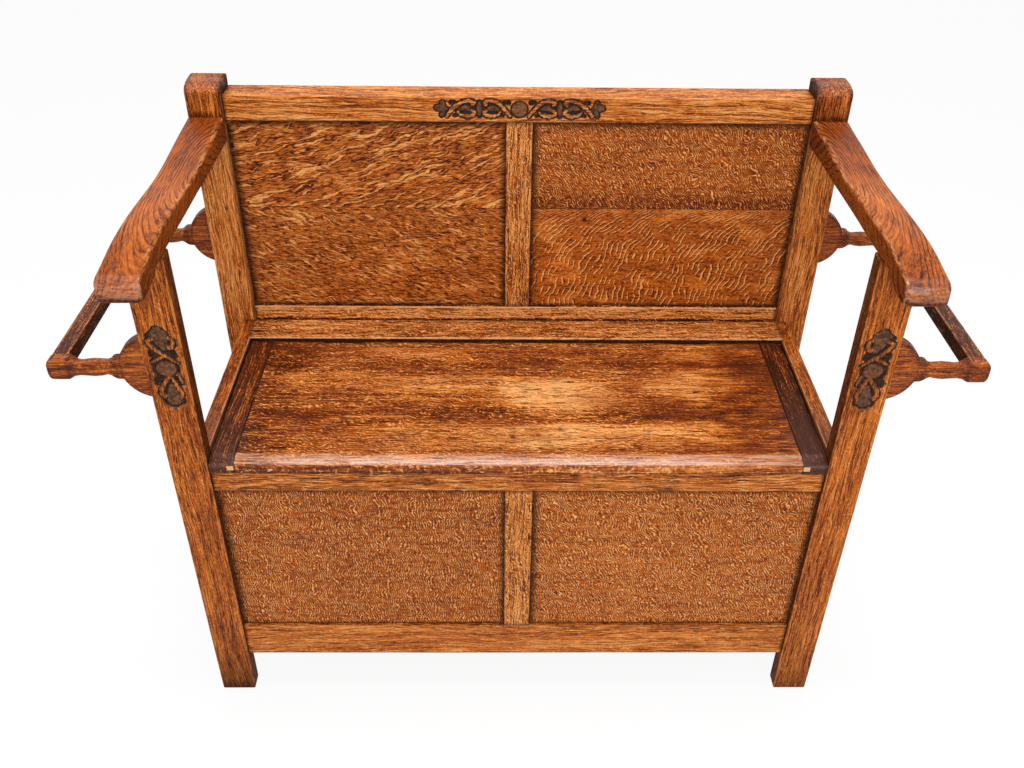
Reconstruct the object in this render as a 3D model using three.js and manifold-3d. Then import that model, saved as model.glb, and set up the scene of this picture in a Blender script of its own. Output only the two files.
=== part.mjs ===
import * as THREE from 'three';
import { mergeVertices } from 'three/addons/utils/BufferGeometryUtils.js';
import Module from 'manifold-3d';

// Oak settle bench with a lift-up seat over a box, and a stick stand on each side.
// Millimetres, +X to the sitter's left, +Y towards the back, +Z up.
// The origin is on the floor, in the middle of the overall width and depth.

const wasm = await Module();
wasm.setup();

// Posts
const frameWidth = 930;
const postWidth = 51;
const frontPostDepth = 25;
const backPostDepth = 48;
const sideRun = 318;
const backPostHeight = 860;
const postTopRadius = 10;

// Rails, muntins and panels
const railThickness = 20;
const railSetback = 5;
const bottomRailBase = 81;
const bottomRailHeight = 63;
const frontSeatRailHeight = 35.7;
const sideRailHeight = 63;
const sideRailLift = 7;
const muntinWidth = 38;
const backRailThickness = 25;
const backSeatRailHeight = 60;
const backSeatRailLift = 31;
const topRailHeight = 36;
const topRailTop = 843;
const topRailSetback = 3;
const panelThickness = 7;
const panelSetback = 5;

// Joints
const fit = 0.3;
const tenonThickness = 7;
const tenonLength = 22;
const stubLength = 5;
const tenonSetback = 3;
const backTenonSetback = 6;
const topTenonSetback = 12;
const topTenonThickness = 14;
const panelTongue = 6;
const grooveDepth = 7;
const haunch = 3;
const endGap = 1;

// Seat
const seatHeight = 473;
const lidThickness = 20;
const lidOverhang = 2;
const lidSideGap = 1.5;
const lidBackGap = 1;
const nosingRadius = 6;
const clampWidth = 33;
const clampTongue = 9;
const clampTongueThickness = 7;
const hingeBoardDepth = 53;
const hingeBoardThickness = 24;
const hingeBoardHousing = 5;

// Box floor
const floorThickness = 11;
const cleatSection = 16;

// Arms
const armLift = 304;
const armReach = 85;
const armThickness = 25;
const armBackRise = 13;
const armHump = 3;
const noseDrop = 11;
const armBevel = 2;
const armTenonHeight = 14;
const armTenonInset = 12.75;

// Brackets and stick bars
const bracketThickness = 20;
const bracketReach = 124;
const bracketCentre = 617;
const discHalfHeight = 43.5;
const discReach = 34;
const bracketNeck = 18;
const discLift = 2.25;
const blockHeight = 28;
const blockLength = 26;
const blockCorner = 4;
const barWidth = 20;
const barHeight = 21;
const barInset = 5;
const barFrontWall = 5;

// Hinges
const hingeSpacing = 540;
const hingeLength = 60;
const knuckleRadius = 3;
const knuckleCount = 5;
const knuckleGap = 0.4;
const hingePinRadius = 1.4;
const leafThickness = 1.8;
const leafDrop = 15;
const hingeRise = 1.2;
const screwHeadRadius = 2.8;
const screwShankRadius = 1.5;
const screwLength = 14;
const screwPoint = 2.8;
const screwDrop = 9;
const screwInset = 13;

// Carving
const carvingDepth = 2.5;
const postCarvingHeight = 624;
const postCarvingLength = 118;
const postCarvingWidth = 36;
const topCarvingLength = 242;
const topCarvingWidth = 26;
const postBossRadius = 14;
const topBossRadius = 10;
const bossRise = 1.5;

// Places worked out from the sizes
const frameHalf = frameWidth / 2;
const postInner = frameHalf - postWidth;
const overallDepth = armReach + frontPostDepth + sideRun + backPostDepth;
const frontY = armReach - overallDepth / 2;
const frontPostBackY = frontY + frontPostDepth;
const backY = frontPostBackY + sideRun;
const rearY = backY + backPostDepth;
const railFrontY = frontY + railSetback;
const railBackY = railFrontY + railThickness;
const frontPanelY = railFrontY + panelSetback;
const sideRailOuter = postInner + railThickness;
const sidePanelX = postInner + (railThickness - panelThickness) / 2;
const bottomRailTop = bottomRailBase + bottomRailHeight;
const lidUnderside = seatHeight - lidThickness;
const frontSeatRailTop = lidUnderside - fit;
const frontSeatRailBase = frontSeatRailTop - frontSeatRailHeight;
const sideRailTop = seatHeight + sideRailLift;
const sideRailBase = sideRailTop - sideRailHeight;
const backSeatRailTop = seatHeight + backSeatRailLift;
const backSeatRailBase = backSeatRailTop - backSeatRailHeight;
const backRailBackY = backY + backRailThickness;
const topRailBase = topRailTop - topRailHeight;
const armUnderside = seatHeight + armLift;
const topRailY = backY + topRailSetback;
const backMuntinBackY = topRailY + railThickness;
const backPanelY = topRailY + panelSetback;
const hingeBoardFrontY = backY - hingeBoardDepth;
const hingeBoardBase = sideRailTop - hingeBoardThickness;
const lidFrontY = frontY - lidOverhang;
const lidBackY = hingeBoardFrontY - lidBackGap;
const lidHalf = postInner - lidSideGap;
const lidBoardHalf = lidHalf - clampWidth;
const hingeY = hingeBoardFrontY - lidBackGap / 2;
const hingeZ = seatHeight + hingeRise;
const muntinHalf = muntinWidth / 2;
const bracketOuter = frameHalf + bracketReach;
const barOuter = bracketOuter - barInset;
const barInner = barOuter - barWidth;
const blockTop = bracketCentre - fit + blockHeight / 2;
const blockBase = blockTop - blockHeight;
const barBase = blockTop - barHeight;

// Colours of the waxed oak and the steel
const oakFrame = { color: 0x9c5826, roughness: 0.45, metalness: 0 };
const oakPanel = { color: 0x8f4c1c, roughness: 0.5, metalness: 0 };
const oakLid = { color: 0x8a4620, roughness: 0.35, metalness: 0 };
const oakStand = { color: 0x6f4a35, roughness: 0.5, metalness: 0 };
const oakInside = { color: 0x8c6a45, roughness: 0.8, metalness: 0 };
const steel = { color: 0x4a4642, roughness: 0.5, metalness: 1 };

const bench = new THREE.Group();
const lid = new THREE.Group();
lid.position.set(0, hingeY, hingeZ);
bench.add(lid);

// Puts a piece, drawn where it lies on the closed bench, into its group
function place(name, finish, geometry, group = bench) {
  geometry.translate(-group.position.x, -group.position.y, -group.position.z);
  const mesh = new THREE.Mesh(geometry, new THREE.MeshStandardMaterial(finish));
  mesh.name = name;
  group.add(mesh);
}

function box(x, y, z) {
  const geometry = new THREE.BoxGeometry(x[1] - x[0], y[1] - y[0], z[1] - z[0]);
  geometry.translate((x[0] + x[1]) / 2, (y[0] + y[1]) / 2, (z[0] + z[1]) / 2);
  return geometry;
}

// A span that is the same distance out on either side of the bench
function across(side, inner, outer) {
  return side > 0 ? [inner, outer] : [-outer, -inner];
}

function grown(span, by) {
  return [span[0] - by, span[1] + by];
}

function solidOf(geometry) {
  const bare = geometry.clone();
  bare.deleteAttribute('normal');
  bare.deleteAttribute('uv');
  const merged = mergeVertices(bare);
  return new wasm.Manifold(new wasm.Mesh({
    numProp: 3,
    vertProperties: merged.attributes.position.array,
    triVerts: new Uint32Array(merged.index.array),
  }));
}

function geometryOf(solid) {
  const { vertProperties, triVerts } = solid.getMesh();
  const geometry = new THREE.BufferGeometry();
  geometry.setAttribute('position', new THREE.BufferAttribute(vertProperties, 3));
  geometry.setIndex(new THREE.BufferAttribute(triVerts, 1));
  geometry.computeVertexNormals();
  return geometry;
}

function worked(blank, added, removed) {
  let solid = solidOf(blank);
  for (const geometry of added) {
    solid = solid.add(solidOf(geometry));
  }
  for (const geometry of removed) {
    solid = solid.subtract(solidOf(geometry));
  }
  return geometryOf(solid);
}

// An outline of [y, z] points, run along X
function alongX(points, x, bevel = 0) {
  const shape = new THREE.Shape(points.map(([y, z]) => new THREE.Vector2(y, z)));
  const geometry = new THREE.ExtrudeGeometry(shape, {
    depth: x[1] - x[0] - 2 * bevel,
    bevelEnabled: bevel > 0,
    bevelThickness: bevel,
    bevelSize: bevel,
    bevelOffset: -bevel,
    bevelSegments: 2,
  });
  geometry.rotateZ(Math.PI / 2);
  geometry.rotateY(Math.PI / 2);
  geometry.translate(x[0] + bevel, 0, 0);
  return geometry;
}

// An outline of [x, z] points, run along Y
function alongY(points, y) {
  const shape = new THREE.Shape(points.map(([x, z]) => new THREE.Vector2(x, z)));
  const geometry = new THREE.ExtrudeGeometry(shape, { depth: y[1] - y[0], bevelEnabled: false });
  geometry.rotateX(Math.PI / 2);
  geometry.translate(0, y[1], 0);
  return geometry;
}

function arc(centreA, centreB, radius, from, to, steps) {
  const points = [];
  for (let i = 0; i <= steps; i += 1) {
    const angle = from + (to - from) * i / steps;
    points.push([centreA + radius * Math.cos(angle), centreB + radius * Math.sin(angle)]);
  }
  return points;
}

// A rod along X
function rodX(radius, x, y, z, sides = 20) {
  const geometry = new THREE.CylinderGeometry(radius, radius, x[1] - x[0], sides);
  geometry.rotateZ(Math.PI / 2);
  geometry.translate((x[0] + x[1]) / 2, y, z);
  return geometry;
}

// The tenons that run into the posts from both ends of a rail
function railTenons(y, z, length) {
  return [1, -1].map((side) => box(across(side, postInner - haunch, postInner + length), y, z));
}

// The mortise for a tenon: the tenon with room all round it and beyond its end
function mortise(side, y, z, length) {
  return box(across(side, postInner - haunch, postInner + length + endGap), grown(y, fit), grown(z, fit));
}

const frontTenonY = [railFrontY + tenonSetback, railFrontY + tenonSetback + tenonThickness];
const backTenonY = [backY + backTenonSetback, backY + backTenonSetback + tenonThickness];
const topTenonY = [topRailY + topTenonSetback, topRailY + topTenonSetback + topTenonThickness];
const tenonHaunch = grooveDepth + haunch;
const bottomTenonZ = [bottomRailBase + tenonHaunch, bottomRailTop - tenonHaunch];
const frontSeatTenonZ = [frontSeatRailBase + tenonHaunch, frontSeatRailTop - tenonHaunch];
const backSeatTenonZ = [backSeatRailBase + tenonHaunch, backSeatRailTop - tenonHaunch];
const topTenonZ = [topRailBase + tenonHaunch, topRailTop - tenonHaunch];
const sideTenonZ = [sideRailBase + tenonHaunch, sideRailTop - tenonHaunch];

const frontGrooveY = grown([frontPanelY, frontPanelY + panelThickness], fit);
const backGrooveY = grown([backPanelY, backPanelY + panelThickness], fit);

// Posts: each takes the rails and panels of two sides, an arm and a bracket
const armTenonY = [frontY + frontPostDepth / 3, frontPostBackY - frontPostDepth / 3];
const armTenonInner = postInner + armTenonInset;
const armTenonOuter = frameHalf - armTenonInset;
const armStubZ = [armUnderside + armThickness / 3, armUnderside + armThickness];
const stubThickness = railThickness / 3;
const bracketStubZ = [bracketCentre - bracketNeck / 2, bracketCentre + bracketNeck / 2];

function bracketStub(side, middleY, growth) {
  return box(
    across(side, frameHalf - 2 * stubLength - growth, frameHalf + haunch),
    grown([middleY - stubThickness / 2, middleY + stubThickness / 2], growth),
    grown(bracketStubZ, growth),
  );
}

function sideStubX(side) {
  const middle = postInner + railThickness / 2;
  return across(side, middle - stubThickness / 2, middle + stubThickness / 2);
}

// The slots that a post has for the two side rails and the side panel between them
function sideSlots(side, y) {
  const x = grown(sideStubX(side), fit);
  const grooveX = grown(across(side, sidePanelX, sidePanelX + panelThickness), fit);
  return [
    box(x, y, grown(bottomTenonZ, fit)),
    box(x, y, grown(sideTenonZ, fit)),
    box(grooveX, y, [bottomRailTop - grooveDepth, sideRailBase + grooveDepth]),
  ];
}

// A carved ground with a round boss left standing in it
// [length share, half width share] along one half, from the boss outwards
const groundShares = [
  [0.1, 0.98], [0.22, 0.62], [0.34, 0.7], [0.52, 0.96], [0.66, 0.92], [0.78, 0.66],
  [0.86, 0.78], [0.95, 0.6], [1, 0.22],
];
const leafLengthShares = [0.5, 0.84];
const leafWidthShare = 0.34;

function carvedGround(length, width, bossRadius) {
  const half = groundShares.map(([along, out]) => [along * length / 2, out * width / 2]);
  const quarter = [...half];
  const outline = [
    ...quarter,
    ...quarter.map(([a, b]) => [a, -b]).reverse(),
    ...quarter.map(([a, b]) => [-a, -b]),
    ...quarter.map(([a, b]) => [-a, b]).reverse(),
  ];
  const ground = alongY(outline, [-carvingDepth, carvingDepth]);
  const boss = new THREE.LatheGeometry([
    new THREE.Vector2(0, -carvingDepth * 2),
    new THREE.Vector2(bossRadius, -carvingDepth * 2),
    new THREE.Vector2(bossRadius, carvingDepth - bossRise),
    new THREE.Vector2(bossRadius * Math.SQRT1_2, carvingDepth - bossRise / 3),
    new THREE.Vector2(0, carvingDepth),
  ], 20);
  boss.rotateX(Math.PI / 2);
  boss.translate(0, carvingDepth, 0);
  const leafMiddle = length / 2 * (leafLengthShares[0] + leafLengthShares[1]) / 2;
  const leafHalf = length / 2 * (leafLengthShares[1] - leafLengthShares[0]) / 2;
  const leaves = [1, -1].map((end) => {
    const leaf = arc(0, 0, 1, 0, Math.PI * 2, 16).slice(1);
    const points = leaf.map(([a, b]) => [end * leafMiddle + a * leafHalf, b * width / 2 * leafWidthShare]);
    return alongY(points, [-carvingDepth, carvingDepth * 2]);
  });
  return worked(ground, [], [boss, ...leaves]);
}

for (const [side, hand] of [[-1, 'left'], [1, 'right']]) {
  const middleX = side * (frameHalf + postInner) / 2;

  const postCarving = carvedGround(postCarvingLength, postCarvingWidth, postBossRadius);
  postCarving.rotateY(Math.PI / 2);
  postCarving.translate(middleX, frontY, postCarvingHeight);
  const armTenon = box(
    across(side, armTenonInner, armTenonOuter),
    armTenonY,
    [armUnderside - haunch, armUnderside + armTenonHeight],
  );
  place(`front_post_${hand}`, oakFrame, worked(
    box(across(side, postInner, frameHalf), [frontY, frontPostBackY], [0, armUnderside]),
    [armTenon],
    [
      mortise(side, frontTenonY, bottomTenonZ, tenonLength),
      mortise(side, frontTenonY, frontSeatTenonZ, tenonLength),
      box(
        across(side, postInner - haunch, postInner + grooveDepth),
        frontGrooveY,
        [bottomRailTop - grooveDepth, frontSeatRailBase + grooveDepth],
      ),
      ...sideSlots(side, [frontPostBackY - stubLength - fit, frontPostBackY + haunch]),
      bracketStub(side, frontY + frontPostDepth / 2, fit),
      postCarving,
    ],
  ));

  const backPostOutline = [
    [rearY, 0],
    [rearY, backPostHeight],
    ...arc(
      backY + postTopRadius,
      backPostHeight - postTopRadius,
      postTopRadius,
      Math.PI / 2,
      Math.PI,
      6,
    ),
    [backY, 0],
  ];
  place(`back_post_${hand}`, oakFrame, worked(
    alongX(backPostOutline, across(side, postInner, frameHalf)),
    [],
    [
      mortise(side, backTenonY, bottomTenonZ, tenonLength),
      mortise(side, backTenonY, backSeatTenonZ, tenonLength),
      mortise(side, topTenonY, topTenonZ, tenonLength),
      box(
        across(side, postInner - haunch, postInner + grooveDepth),
        backGrooveY,
        [bottomRailTop - grooveDepth, topRailBase + grooveDepth],
      ),
      ...sideSlots(side, [backY - haunch, backY + stubLength + fit]),
      box(
        grown(across(side, armTenonInner, armTenonOuter), fit),
        [backY - haunch, backY + stubLength + fit],
        grown(armStubZ, fit),
      ),
      bracketStub(side, backY + backPostDepth / 2, fit),
    ],
  ));
}

// Front frame: two rails, a muntin between them, and two panels in grooves
const railSpan = [-postInner, postInner];
const muntinTenonHalf = muntinHalf - grooveDepth - endGap;
const frontMuntinTenonY = [railFrontY + tenonSetback, railFrontY + tenonSetback + tenonThickness];

function muntinSlot(y, z) {
  return box([-muntinTenonHalf - fit, muntinTenonHalf + fit], grown(y, fit), z);
}

place('front_seat_rail', oakFrame, worked(
  box(railSpan, [railFrontY, railBackY], [frontSeatRailBase, frontSeatRailTop]),
  railTenons(frontTenonY, frontSeatTenonZ, tenonLength),
  [
    box(railSpan, frontGrooveY, [frontSeatRailBase - haunch, frontSeatRailBase + grooveDepth]),
    muntinSlot(frontMuntinTenonY, [frontSeatRailBase - haunch, frontSeatRailBase + tenonHaunch + fit]),
  ],
));

place('front_bottom_rail', oakFrame, worked(
  box(railSpan, [railFrontY, railBackY], [bottomRailBase, bottomRailTop]),
  railTenons(frontTenonY, bottomTenonZ, tenonLength),
  [
    box(railSpan, frontGrooveY, [bottomRailTop - grooveDepth, bottomRailTop + haunch]),
    muntinSlot(frontMuntinTenonY, [bottomRailTop - tenonHaunch - fit, bottomRailTop + haunch]),
  ],
));

function muntin(y, z, tenonY, grooveY) {
  const tenon = [-muntinTenonHalf, muntinTenonHalf];
  return worked(
    box([-muntinHalf, muntinHalf], y, z),
    [box(tenon, tenonY, grown(z, tenonHaunch))],
    [1, -1].map((side) => box(
      across(side, muntinHalf - grooveDepth, muntinHalf + haunch),
      grooveY,
      grown(z, haunch),
    )),
  );
}

place('front_muntin', oakFrame, muntin(
  [railFrontY, railBackY],
  [bottomRailTop, frontSeatRailBase],
  frontMuntinTenonY,
  frontGrooveY,
));

for (const [side, hand] of [[-1, 'left'], [1, 'right']]) {
  place(`front_panel_${hand}`, oakPanel, box(
    across(side, muntinHalf - panelTongue, postInner + panelTongue),
    [frontPanelY, frontPanelY + panelThickness],
    [bottomRailTop - panelTongue, frontSeatRailBase + panelTongue],
  ));
}

// Back frame: top rail, seat rail and bottom rail, with a muntin and panels above the seat
const topCarving = carvedGround(topCarvingLength, topCarvingWidth, topBossRadius);
topCarving.translate(0, topRailY, (topRailBase + topRailTop) / 2);
const backMuntinTenonY = [topRailY + tenonSetback, topRailY + tenonSetback + topTenonThickness];

place('top_rail', oakFrame, worked(
  box(railSpan, [topRailY, rearY], [topRailBase, topRailTop]),
  railTenons(topTenonY, topTenonZ, tenonLength),
  [
    box(railSpan, backGrooveY, [topRailBase - haunch, topRailBase + grooveDepth]),
    muntinSlot(backMuntinTenonY, [topRailBase - haunch, topRailBase + tenonHaunch + fit]),
    topCarving,
  ],
));

place('back_muntin', oakFrame, muntin(
  [topRailY, backMuntinBackY],
  [backSeatRailTop, topRailBase],
  backMuntinTenonY,
  backGrooveY,
));

place('back_seat_rail', oakFrame, worked(
  box(railSpan, [backY, backRailBackY], [backSeatRailBase, backSeatRailTop]),
  railTenons(backTenonY, backSeatTenonZ, tenonLength),
  [
    box(railSpan, backGrooveY, [backSeatRailTop - grooveDepth, backSeatRailTop + haunch]),
    box(railSpan, backGrooveY, [backSeatRailBase - haunch, backSeatRailBase + grooveDepth]),
    muntinSlot(backMuntinTenonY, [backSeatRailTop - tenonHaunch - fit, backSeatRailTop + haunch]),
  ],
));

place('back_bottom_rail', oakFrame, worked(
  box(railSpan, [backY, backRailBackY], [bottomRailBase, bottomRailTop]),
  railTenons(backTenonY, bottomTenonZ, tenonLength),
  [box(railSpan, backGrooveY, [bottomRailTop - grooveDepth, bottomRailTop + haunch])],
));

for (const [side, hand] of [[-1, 'left'], [1, 'right']]) {
  place(`back_panel_${hand}`, oakPanel, box(
    across(side, muntinHalf - panelTongue, postInner + panelTongue),
    [backPanelY, backPanelY + panelThickness],
    [backSeatRailTop - panelTongue, topRailBase + panelTongue],
  ));
}

place('back_lower_panel', oakInside, box(
  [-postInner - panelTongue, postInner + panelTongue],
  [backPanelY, backPanelY + panelThickness],
  [bottomRailTop - panelTongue, backSeatRailBase + panelTongue],
));

// Sides of the box: seat rail, bottom rail and a panel, with stub tenons in the posts
const sideRunY = [frontPostBackY, backY];
const stubRunY = grown(sideRunY, stubLength);
const hingeBoardSlotY = [hingeBoardFrontY - fit, backY + haunch];

for (const [side, hand] of [[-1, 'left'], [1, 'right']]) {
  const railX = across(side, postInner, sideRailOuter);
  const grooveX = grown(across(side, sidePanelX, sidePanelX + panelThickness), fit);
  place(`side_seat_rail_${hand}`, oakFrame, worked(
    box(railX, sideRunY, [sideRailBase, sideRailTop]),
    [box(sideStubX(side), stubRunY, sideTenonZ)],
    [
      box(grooveX, sideRunY, [sideRailBase - haunch, sideRailBase + grooveDepth]),
      box(
        across(side, postInner - haunch, postInner + hingeBoardHousing + fit),
        hingeBoardSlotY,
        [hingeBoardBase - fit, sideRailTop + haunch],
      ),
    ],
  ));
  place(`side_bottom_rail_${hand}`, oakFrame, worked(
    box(railX, sideRunY, [bottomRailBase, bottomRailTop]),
    [box(sideStubX(side), stubRunY, bottomTenonZ)],
    [box(grooveX, sideRunY, [bottomRailTop - grooveDepth, bottomRailTop + haunch])],
  ));
  place(`side_panel_${hand}`, oakPanel, box(
    across(side, sidePanelX, sidePanelX + panelThickness),
    grown(sideRunY, stubLength),
    [bottomRailTop - panelTongue, sideRailBase + panelTongue],
  ));
}

// Floor of the box: boards resting on two cleats that are screwed to the bottom rails
const floorBase = bottomRailBase + cleatSection;
place('box_floor', oakInside, box(
  grown(railSpan, -fit),
  [railBackY + fit, backY - fit],
  [floorBase + fit, floorBase + fit + floorThickness],
));
place('floor_cleat_front', oakInside, box(
  grown(railSpan, -fit),
  [railBackY, railBackY + cleatSection],
  [bottomRailBase, floorBase],
));
place('floor_cleat_back', oakInside, box(
  grown(railSpan, -fit),
  [backY - cleatSection, backY],
  [bottomRailBase, floorBase],
));

// Hinges: two steel butts, each with a fixed leaf, a moving leaf and a pin
const knucklePitch = hingeLength / knuckleCount;
const leafScrewZ = hingeZ - screwDrop;
const leafOffset = lidBackGap / 2;

function knuckleSpans(middleX, first) {
  const spans = [];
  for (let i = first; i < knuckleCount; i += 2) {
    const start = middleX - hingeLength / 2 + i * knucklePitch;
    spans.push([start + knuckleGap / 2, start + knucklePitch - knuckleGap / 2]);
  }
  return spans;
}

function screwPlaces(middleX) {
  return [-1, 1].map((end) => middleX + end * (hingeLength / 2 - screwInset));
}

// A countersunk screw along Y, its head at the leaf and its point away from the pin
function screwShape(x, away, growth) {
  const headDepth = leafThickness - fit;
  const profile = [
    new THREE.Vector2(0, -growth),
    new THREE.Vector2(screwHeadRadius + growth, -growth),
    new THREE.Vector2(screwHeadRadius + growth, 0),
    new THREE.Vector2(screwShankRadius + growth, headDepth),
    new THREE.Vector2(screwShankRadius + growth, screwLength - screwPoint),
    new THREE.Vector2(0, screwLength + growth),
  ];
  const geometry = new THREE.LatheGeometry(profile, 12);
  geometry.rotateX(away > 0 ? 0 : Math.PI);
  geometry.translate(x, hingeY + away * (leafOffset + fit), leafScrewZ);
  return geometry;
}

function leaf(middleX, away) {
  const first = away > 0 ? 0 : 1;
  const near = hingeY + away * leafOffset;
  const far = near + away * leafThickness;
  const plate = box(
    [middleX - hingeLength / 2, middleX + hingeLength / 2],
    [Math.min(near, far), Math.max(near, far)],
    [hingeZ - leafDrop, hingeZ],
  );
  const length = [middleX - hingeLength / 2 - fit, middleX + hingeLength / 2 + fit];
  return worked(
    plate,
    knuckleSpans(middleX, first).map((span) => rodX(knuckleRadius, span, hingeY, hingeZ)),
    [
      rodX(hingePinRadius + fit, length, hingeY, hingeZ),
      ...knuckleSpans(middleX, 1 - first).map((span) => (
        rodX(knuckleRadius + fit, grown(span, knuckleGap / 2), hingeY, hingeZ)
      )),
      ...screwPlaces(middleX).map((x) => screwShape(x, away, fit / 2)),
    ],
  );
}

// The room that a leaf and the whole barrel take in the edge that they are let into
function leafHousing(middleX, away) {
  const near = hingeY - away * leafOffset;
  const far = hingeY + away * (leafOffset + leafThickness + fit);
  const length = [middleX - hingeLength / 2 - fit, middleX + hingeLength / 2 + fit];
  return [
    box(length, [Math.min(near, far), Math.max(near, far)], [hingeZ - leafDrop - fit, hingeZ]),
    rodX(knuckleRadius + 2 * fit, length, hingeY, hingeZ),
    ...screwPlaces(middleX).map((x) => screwShape(x, away, fit)),
  ];
}

const hingePlaces = [[-hingeSpacing / 2, 'left'], [hingeSpacing / 2, 'right']];
for (const [middleX, hand] of hingePlaces) {
  const length = [middleX - hingeLength / 2, middleX + hingeLength / 2];
  place(`hinge_fixed_leaf_${hand}`, steel, leaf(middleX, 1));
  place(`hinge_pin_${hand}`, steel, rodX(hingePinRadius, length, hingeY, hingeZ));
  place(`hinge_moving_leaf_${hand}`, steel, leaf(middleX, -1), lid);
  screwPlaces(middleX).forEach((x, i) => {
    place(`hinge_board_screw_${hand}_${i + 1}`, steel, screwShape(x, 1, 0));
    place(`lid_screw_${hand}_${i + 1}`, steel, screwShape(x, -1, 0), lid);
  });
}

// Hinge board: fixed strip behind the lid, its ends housed in the side rails
place('hinge_board', oakFrame, worked(
  box(
    grown(railSpan, hingeBoardHousing),
    [hingeBoardFrontY, backY],
    [hingeBoardBase, sideRailTop],
  ),
  [],
  hingePlaces.flatMap(([middleX]) => leafHousing(middleX, 1)),
));

// Lid: a board with a tongue on each end, held flat by two clamps
const lidOutline = [
  [lidBackY, lidUnderside],
  [lidBackY, seatHeight],
  ...arc(
    lidFrontY + nosingRadius,
    seatHeight - nosingRadius,
    nosingRadius,
    Math.PI / 2,
    Math.PI,
    8,
  ),
  [lidFrontY, lidUnderside],
];
const tongueMiddle = seatHeight - lidThickness / 2;
const tongueZ = [tongueMiddle - clampTongueThickness / 2, tongueMiddle + clampTongueThickness / 2];
place('lid_board', oakLid, worked(
  alongX(lidOutline, [-lidBoardHalf, lidBoardHalf]),
  [box(grown([-lidBoardHalf, lidBoardHalf], clampTongue), [lidFrontY + fit, lidBackY - fit], tongueZ)],
  hingePlaces.flatMap(([middleX]) => leafHousing(middleX, -1)),
), lid);
for (const [side, hand] of [[-1, 'left'], [1, 'right']]) {
  place(`lid_clamp_${hand}`, oakLid, worked(
    alongX(lidOutline, across(side, lidBoardHalf + fit, lidHalf)),
    [],
    [box(
      across(side, lidBoardHalf - haunch, lidBoardHalf + clampTongue + fit),
      grown([lidFrontY, lidBackY], haunch),
      grown(tongueZ, fit),
    )],
  ), lid);
}

// Arms: sawn from thick boards, dipped along the top and rolled over at the nose
const armTop = armUnderside + armThickness;
const armRun = [frontY - armReach, backY];
// [share of the run from nose to back post, share of the back rise, share of the hump]
const armTopShares = [
  [1, 1, 0],
  [0.87, 0.66, 0],
  [0.73, 0.25, 0],
  [0.57, 0, 0],
  [0.44, 0, 0.6],
  [0.3, 0, 1],
  [0.2, 0, 0.6],
  [0.12, 0, -0.8],
  [0.055, 0, -2.6],
];
// [share of the run, share of the nose's height]
const noseShares = [[0.018, 0.72], [0.001, 0.5], [0, 0.2], [0.012, 0]];
// [share of the arm's reach, share of the nose's drop]
const undersideShares = [[0.25, 0], [0.55, 0.25], [0.85, 0.75], [0.99, 1]];
const runLength = armRun[1] - armRun[0];
const noseBase = armUnderside - noseDrop;
const noseTop = armTop + armHump * armTopShares.at(-1)[2];
const armOutline = [
  ...armTopShares.map(([along, rise, hump]) => [
    armRun[0] + along * runLength,
    armTop + rise * armBackRise + hump * armHump,
  ]),
  ...noseShares.map(([along, up]) => [
    armRun[0] + along * runLength,
    noseBase + up * (noseTop - noseBase),
  ]),
  ...undersideShares.map(([along, up]) => [
    armRun[0] + along * armReach,
    noseBase + up * noseDrop,
  ]),
  [backY, armUnderside],
];
for (const [side, hand] of [[-1, 'left'], [1, 'right']]) {
  const stub = box(
    across(side, armTenonInner, armTenonOuter),
    [backY - haunch, backY + stubLength],
    armStubZ,
  );
  const socket = box(
    grown(across(side, armTenonInner, armTenonOuter), fit),
    grown(armTenonY, fit),
    [armUnderside - haunch, armUnderside + armTenonHeight + endGap],
  );
  place(`arm_${hand}`, oakFrame, worked(
    alongX(armOutline, across(side, postInner, frameHalf), armBevel),
    [stub],
    [socket],
  ));
}

// Brackets: a half disc against the post, a waisted neck and a block that holds the bar
// [share of the way from disc to block, share of half the neck]
const neckTopShares = [
  [0.08, 1.5], [0.2, 1.3], [0.27, 1], [0.5, 1.08], [0.78, 0.92], [0.88, 1.15], [0.96, 1.35],
];
const neckBaseShares = [
  [0.95, 1.35], [0.88, 1.1], [0.75, 1], [0.5, 1.12], [0.22, 0.85], [0.16, 1.15], [0.04, 1.45],
];
// Where the disc meets the neck, above and below, as shares of the neck
const discEndShares = [0.62, 0.88];
const discInset = (discHalfHeight ** 2 - discReach ** 2) / (2 * discReach);
const discRadius = discReach + discInset;
const discCentreX = frameHalf - discInset;
const discCentreZ = bracketCentre + discLift;
const neckStart = frameHalf + discReach;
const neckEnd = bracketOuter - blockLength;
const discRoot = Math.acos(discInset / discRadius);
const [neckLift, neckFall] = discEndShares.map((share) => Math.asin(share * bracketNeck / discRadius));

function neckPoints(shares, up) {
  return shares.map(([along, out]) => [
    neckStart + along * (neckEnd - neckStart),
    bracketCentre + up * out * bracketNeck / 2,
  ]);
}

const bracketOutline = [
  ...arc(discCentreX, discCentreZ, discRadius, discRoot, neckLift, 8),
  ...neckPoints(neckTopShares, 1),
  [neckEnd, blockTop],
  ...arc(bracketOuter - blockCorner, blockTop - blockCorner, blockCorner, Math.PI / 2, 0, 3),
  ...arc(bracketOuter - blockCorner, blockBase + blockCorner, blockCorner, 0, -Math.PI / 2, 3),
  [neckEnd, blockBase],
  ...neckPoints(neckBaseShares, -1),
  ...arc(discCentreX, discCentreZ, discRadius, -neckFall, -discRoot, 8),
];

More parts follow.
